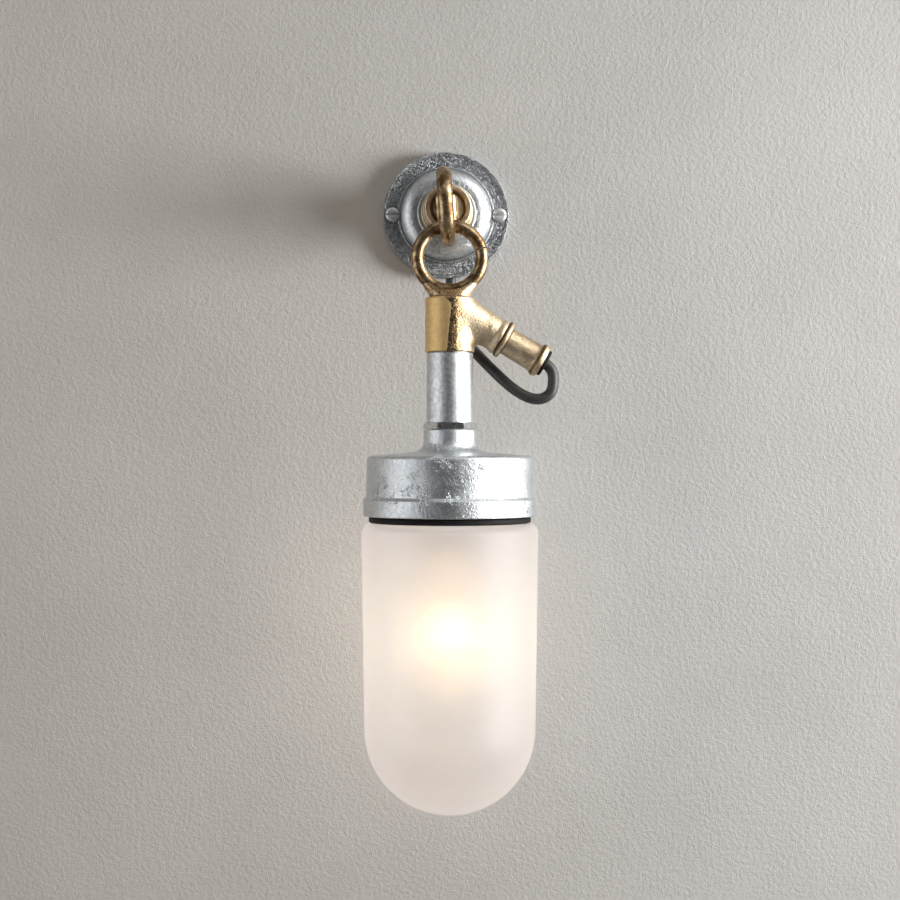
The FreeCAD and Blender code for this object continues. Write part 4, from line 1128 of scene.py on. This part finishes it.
def make_hood(material):
    hood = turned(
        "hood_casting",
        [
            (10.8, -131.05, 0.3), (15.15, -131.05, 0.6), (15.15, -143.35, 6.5),
            (47.7, -146.25, 2.6), (48.3, -169.55, 0.7), (49.95, -171.25, 0.7),
            (49.95, -180.65, 0.5), (42.6, -180.65, 0.3), (42.6, -167.65, 0.3),
            (44.0, -167.65, 0.3), (44.0, -150.55, 3.0), (10.8, -150.55, 0.3),
        ],
        LAMP,
        UP,
        192,
    )
    paint(hood, material)
    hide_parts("hood")
    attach(hood, "lamp")


def make_glass(frost, rubber):
    gasket = turned(
        "hood_gasket_ring",
        [
            (42.25, -184.55, 0.4), (46.65, -184.55, 1.3),
            (46.65, -180.85, 1.3), (42.25, -180.85, 0.4),
        ],
        LAMP,
        UP,
        160,
    )
    paint(gasket, rubber)
    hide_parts("hood_gasket")
    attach(gasket, "glass")

    def end_radius(side, end, height):
        return end / math.tan((math.pi / 2 - math.atan2(side - end, height)) / 2)

    glass = turned(
        "well_glass_frosted",
        [
            (0, -352.3, 0),
            (48.6, -352.3, end_radius(51.0, 48.6, 167.75)),
            (51.0, -184.55, 6.0), (42.25, -184.55, 0.4), (42.25, -170.25, 1.2),
            (38.75, -170.25, 1.2), (38.75, -188.05, 0.6), (47.5, -188.05, 3.5),
            (45.1, -348.8, end_radius(47.5, 45.1, 160.75)),
            (0, -348.8, 0),
        ],
        LAMP,
        UP,
        192,
    )
    paint(glass, frost)
    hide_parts("well_glass")
    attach(glass, "glass")


def dress_inner_nodes(finishes):
    """Gives each inner piece of the frame its own finish."""
    for name, material in finishes.items():
        piece = frame["nodes"][name]
        if piece.material_slots:
            for slot in piece.material_slots:
                slot.material = material
        else:
            piece.data.materials.append(material)


# Room: the wall that the plate is screwed to, and the lights
def make_wall(material):
    """A broad flat ring, open behind the plate's hollow back."""
    put_down()
    middle = (0, 0.0006, 0)
    bpy.ops.mesh.primitive_circle_add(
        vertices=64, radius=0.034, location=middle, rotation=(math.pi / 2, 0, 0)
    )
    wall = bpy.context.object
    wall.name = "wall_stage"
    settle(wall)
    open_up(wall)
    bpy.ops.mesh.extrude_edges_move(TRANSFORM_OT_translate={"value": (0, 0, 0)})
    bpy.ops.transform.resize(value=(90, 1, 90), center_override=middle)
    put_down()
    for face in wall.data.polygons:
        if face.normal.y > 0:
            face.flip()
    wall.data.materials.append(material)
    return wall


def hang_light(name, location, aim, width, height, power, colour):
    bpy.ops.object.light_add(type="AREA", location=location)
    light = bpy.context.object
    light.name = name
    light.data.shape = "RECTANGLE"
    light.data.size = width
    light.data.size_y = height
    light.data.energy = power
    light.data.color = colour
    way = Vector(aim) - Vector(location)
    light.rotation_euler = way.to_track_quat("-Z", "Y").to_euler()
    return light


def share_light(light, lit=(), unlit=(), blocking=()):
    """Keeps a light to some pieces, or off others, and names what may shade it."""
    if lit or unlit:
        group = bpy.data.collections.new(light.name + "_lights")
        for piece in (*lit, *unlit):
            group.objects.link(piece)
        for entry in group.collection_objects[-len(unlit):] if unlit else ():
            entry.light_linking.link_state = "EXCLUDE"
        light.light_linking.receiver_collection = group
    if blocking:
        group = bpy.data.collections.new(light.name + "_shades")
        for piece in blocking:
            group.objects.link(piece)
        light.light_linking.blocker_collection = group


# place, aim, width, height, power and colour
LIGHTS = {
    "window_right": ((1.3, -0.52, -0.06), (0, -0.52, -0.06), 0.98, 0.42, 31, (0.995, 1.0, 1.0)),
    "window_on_lamp": ((1.5, -0.68, 0.15), (0, -0.68, -0.05), 1.25, 2.0, 86, (1.0, 0.995, 0.985)),
    "window_on_glass": ((1.5, -0.95, 0.12), (0, -0.95, -0.05), 1.8, 2.0, 47, (0.93, 0.97, 1.0)),
    "skylight": ((0.95, -0.85, 1.15), (0, -0.063, -0.1), 1.0, 1.0, 3, (0.97, 0.985, 1.0)),
    "bounce_left": ((-1.3, -0.62, -0.1), (0, -0.62, -0.1), 1.15, 1.6, 8.4, (0.985, 0.99, 1.0)),
    "warm_floor": ((-1.3, -0.62, -0.35), (0, -0.62, -0.2), 1.15, 1.6, 6.0, (1.0, 0.74, 0.5)),
    "ceiling": ((0.2, -0.7, 1.3), (0.2, -0.7, 0), 1.6, 1.2, 3.4, (1.0, 0.99, 0.97)),
    "room_fill": ((0, -1.6, 0), (0, 0, -0.1), 2.0, 2.0, 2.6, (1.0, 0.965, 0.93)),
}


def light_room(wall, on_the_wall, glass):
    put_down()
    hung = {name: hang_light(name, *settings) for name, settings in LIGHTS.items()}
    share_light(hung["window_right"], lit=[wall], blocking=on_the_wall)
    share_light(hung["window_on_lamp"], unlit=[wall, glass])
    share_light(hung["window_on_glass"], lit=[glass])
    for name in ("skylight", "bounce_left"):
        share_light(hung[name], unlit=[wall])
    for name in ("warm_floor", "room_fill"):
        share_light(hung[name], lit=[wall])
    world = bpy.data.worlds.new("Pale room")
    bpy.context.scene.world = world
    world.use_nodes = True
    sky = world.node_tree.nodes["Background"]
    # the room is darkest at its far end, opposite the wall
    y = parts_of(add_node(sky, "TexCoord").outputs["Generated"])[1]
    shade = colour_mix(ranged(y, -1.0, -0.5), (0.37, 0.375, 0.385), (1.0, 0.99, 0.97))
    feed(sky, Color=shade, Strength=0.145)
    bpy.context.scene.view_settings.view_transform = "Standard"
    bpy.context.scene.view_settings.look = "None"


set_camera()
cast_skin = make_cast_skin()
tool_marks = make_tool_marks()

# light and dark colour, roughness from and to, fineness of clouds and grain, depth, shine
PLAIN = {
    "Flex sheath": ((0.052, 0.046, 0.044), (0.034, 0.03, 0.029), 0.36, 0.5, 180, 2200, 0.03),
    "Black rubber": (
        (0.010, 0.009, 0.009), (0.005, 0.005, 0.005), 0.6, 0.75, 160, 1800, 0.04, 0.2
    ),
    "Brown core": ((0.24, 0.11, 0.055), (0.17, 0.075, 0.035), 0.3, 0.42, 300, 2600, 0.015),
    "Blue core": ((0.06, 0.15, 0.46), (0.04, 0.11, 0.36), 0.3, 0.42, 300, 2600, 0.015),
    "Green core": ((0.24, 0.46, 0.1), (0.16, 0.36, 0.06), 0.3, 0.42, 300, 2600, 0.015),
    "White moulding": ((0.82, 0.81, 0.77), (0.72, 0.71, 0.67), 0.35, 0.5, 220, 1900, 0.02),
    "Glazed porcelain": ((0.85, 0.83, 0.78), (0.76, 0.74, 0.69), 0.12, 0.22, 130, 900, 0.02),
    "Black glass": ((0.035, 0.034, 0.04), (0.02, 0.02, 0.025), 0.08, 0.18, 300, 1500, 0.01),
    "Solder": ((0.6, 0.6, 0.59), (0.42, 0.42, 0.41), 0.3, 0.5, 700, 2400, 0.05),
}
plain = {name: dull_solid(name, *values) for name, values in PLAIN.items()}
rubber = plain["Black rubber"]
sheath = plain["Flex sheath"]
steel = plated_steel(cast_skin, "Plated steel", 0.17, 0.3)
dull_steel = plated_steel(cast_skin, "Dull plated steel", 0.42, 0.58)
tumbled = tumbled_brass(cast_skin)
collar_brass = turned_brass(cast_skin, tool_marks, "Collar brass", tuple(OUT), 0.5)
gland_brass = turned_brass(
    cast_skin, tool_marks, "Gland brass", tuple(BRANCH), 0.68, GLAND_GROOVES
)
inner_brass = turned_brass(cast_skin, tool_marks, "Inner brass", tuple(UP), 0.15)

lay_flex(
    "flex_upper_cord",
    PLATE_ROUTE + [SEAM],
    sheath,
    "flex_upper",
)
lay_flex(
    "flex_lower_cord",
    [SEAM] + GLAND_ROUTE,
    sheath,
    "flex_lower",
)
make_wall_plate(galvanised_plate(cast_skin))
make_plate_screws(dull_steel)
make_collar(collar_brass)
make_wall_eye(tumbled)
make_hanging_ring(tumbled)
make_entry_body(entry_brass(cast_skin))
make_gland(gland_brass, rubber)
make_stem(galvanised_pipe(cast_skin), steel)
make_hood(galvanised_casting(cast_skin))
make_glass(frosted_glass(), rubber)

dress_inner_nodes(
    {
        "eye_bush": inner_brass,
        "terminal_block": plain["White moulding"],
        "terminal_screws": steel,
        "plate_core_line": plain["Brown core"],
        "plate_core_neutral": plain["Blue core"],
        "plate_core_earth": plain["Green core"],
        "gland_washer": inner_brass,
        "gland_packing": rubber,
        "inner_flex": sheath,
        "core_line": plain["Brown core"],
        "core_neutral": plain["Blue core"],
        "core_earth": plain["Green core"],
        "nipple": screwed_metal(
            "Screwed nipple", (0.66, 0.66, 0.66), (0.48, 0.48, 0.48), 1.5, 0.3
        ),
        "nipple_nut": steel,
        "holder_bracket": steel,
        "bracket_screws": steel,
        "holder_body": plain["Glazed porcelain"],
        "holder_shell": screwed_metal("Holder shell", BRASS_LIGHT, BRASS_MID, 3.6, 0.4),
        "centre_contact": inner_brass,
        "holder_terminals": inner_brass,
        "earth_screw": inner_brass,
        "bulb_cap": screwed_metal("Lamp cap", (0.80, 0.79, 0.76), (0.62, 0.61, 0.58), 3.6, 0.5),
        "bulb_insulator": plain["Black glass"],
        "bulb_button": plain["Solder"],
        "bulb_envelope": lamp_glass(),
        "bulb_mount": lamp_stem_glass(),
        "bulb_filament": lit_filament(),
    }
)

on_the_wall = (
    "wall_plate_casting",
    "plate_screw_left",
    "plate_screw_right",
    "collar_nut_turned",
    "wall_eye_casting",
)
light_room(
    make_wall(wall_paint()),
    [bpy.data.objects[name] for name in on_the_wall],
    bpy.data.objects["well_glass_frosted"],
)
put_down()
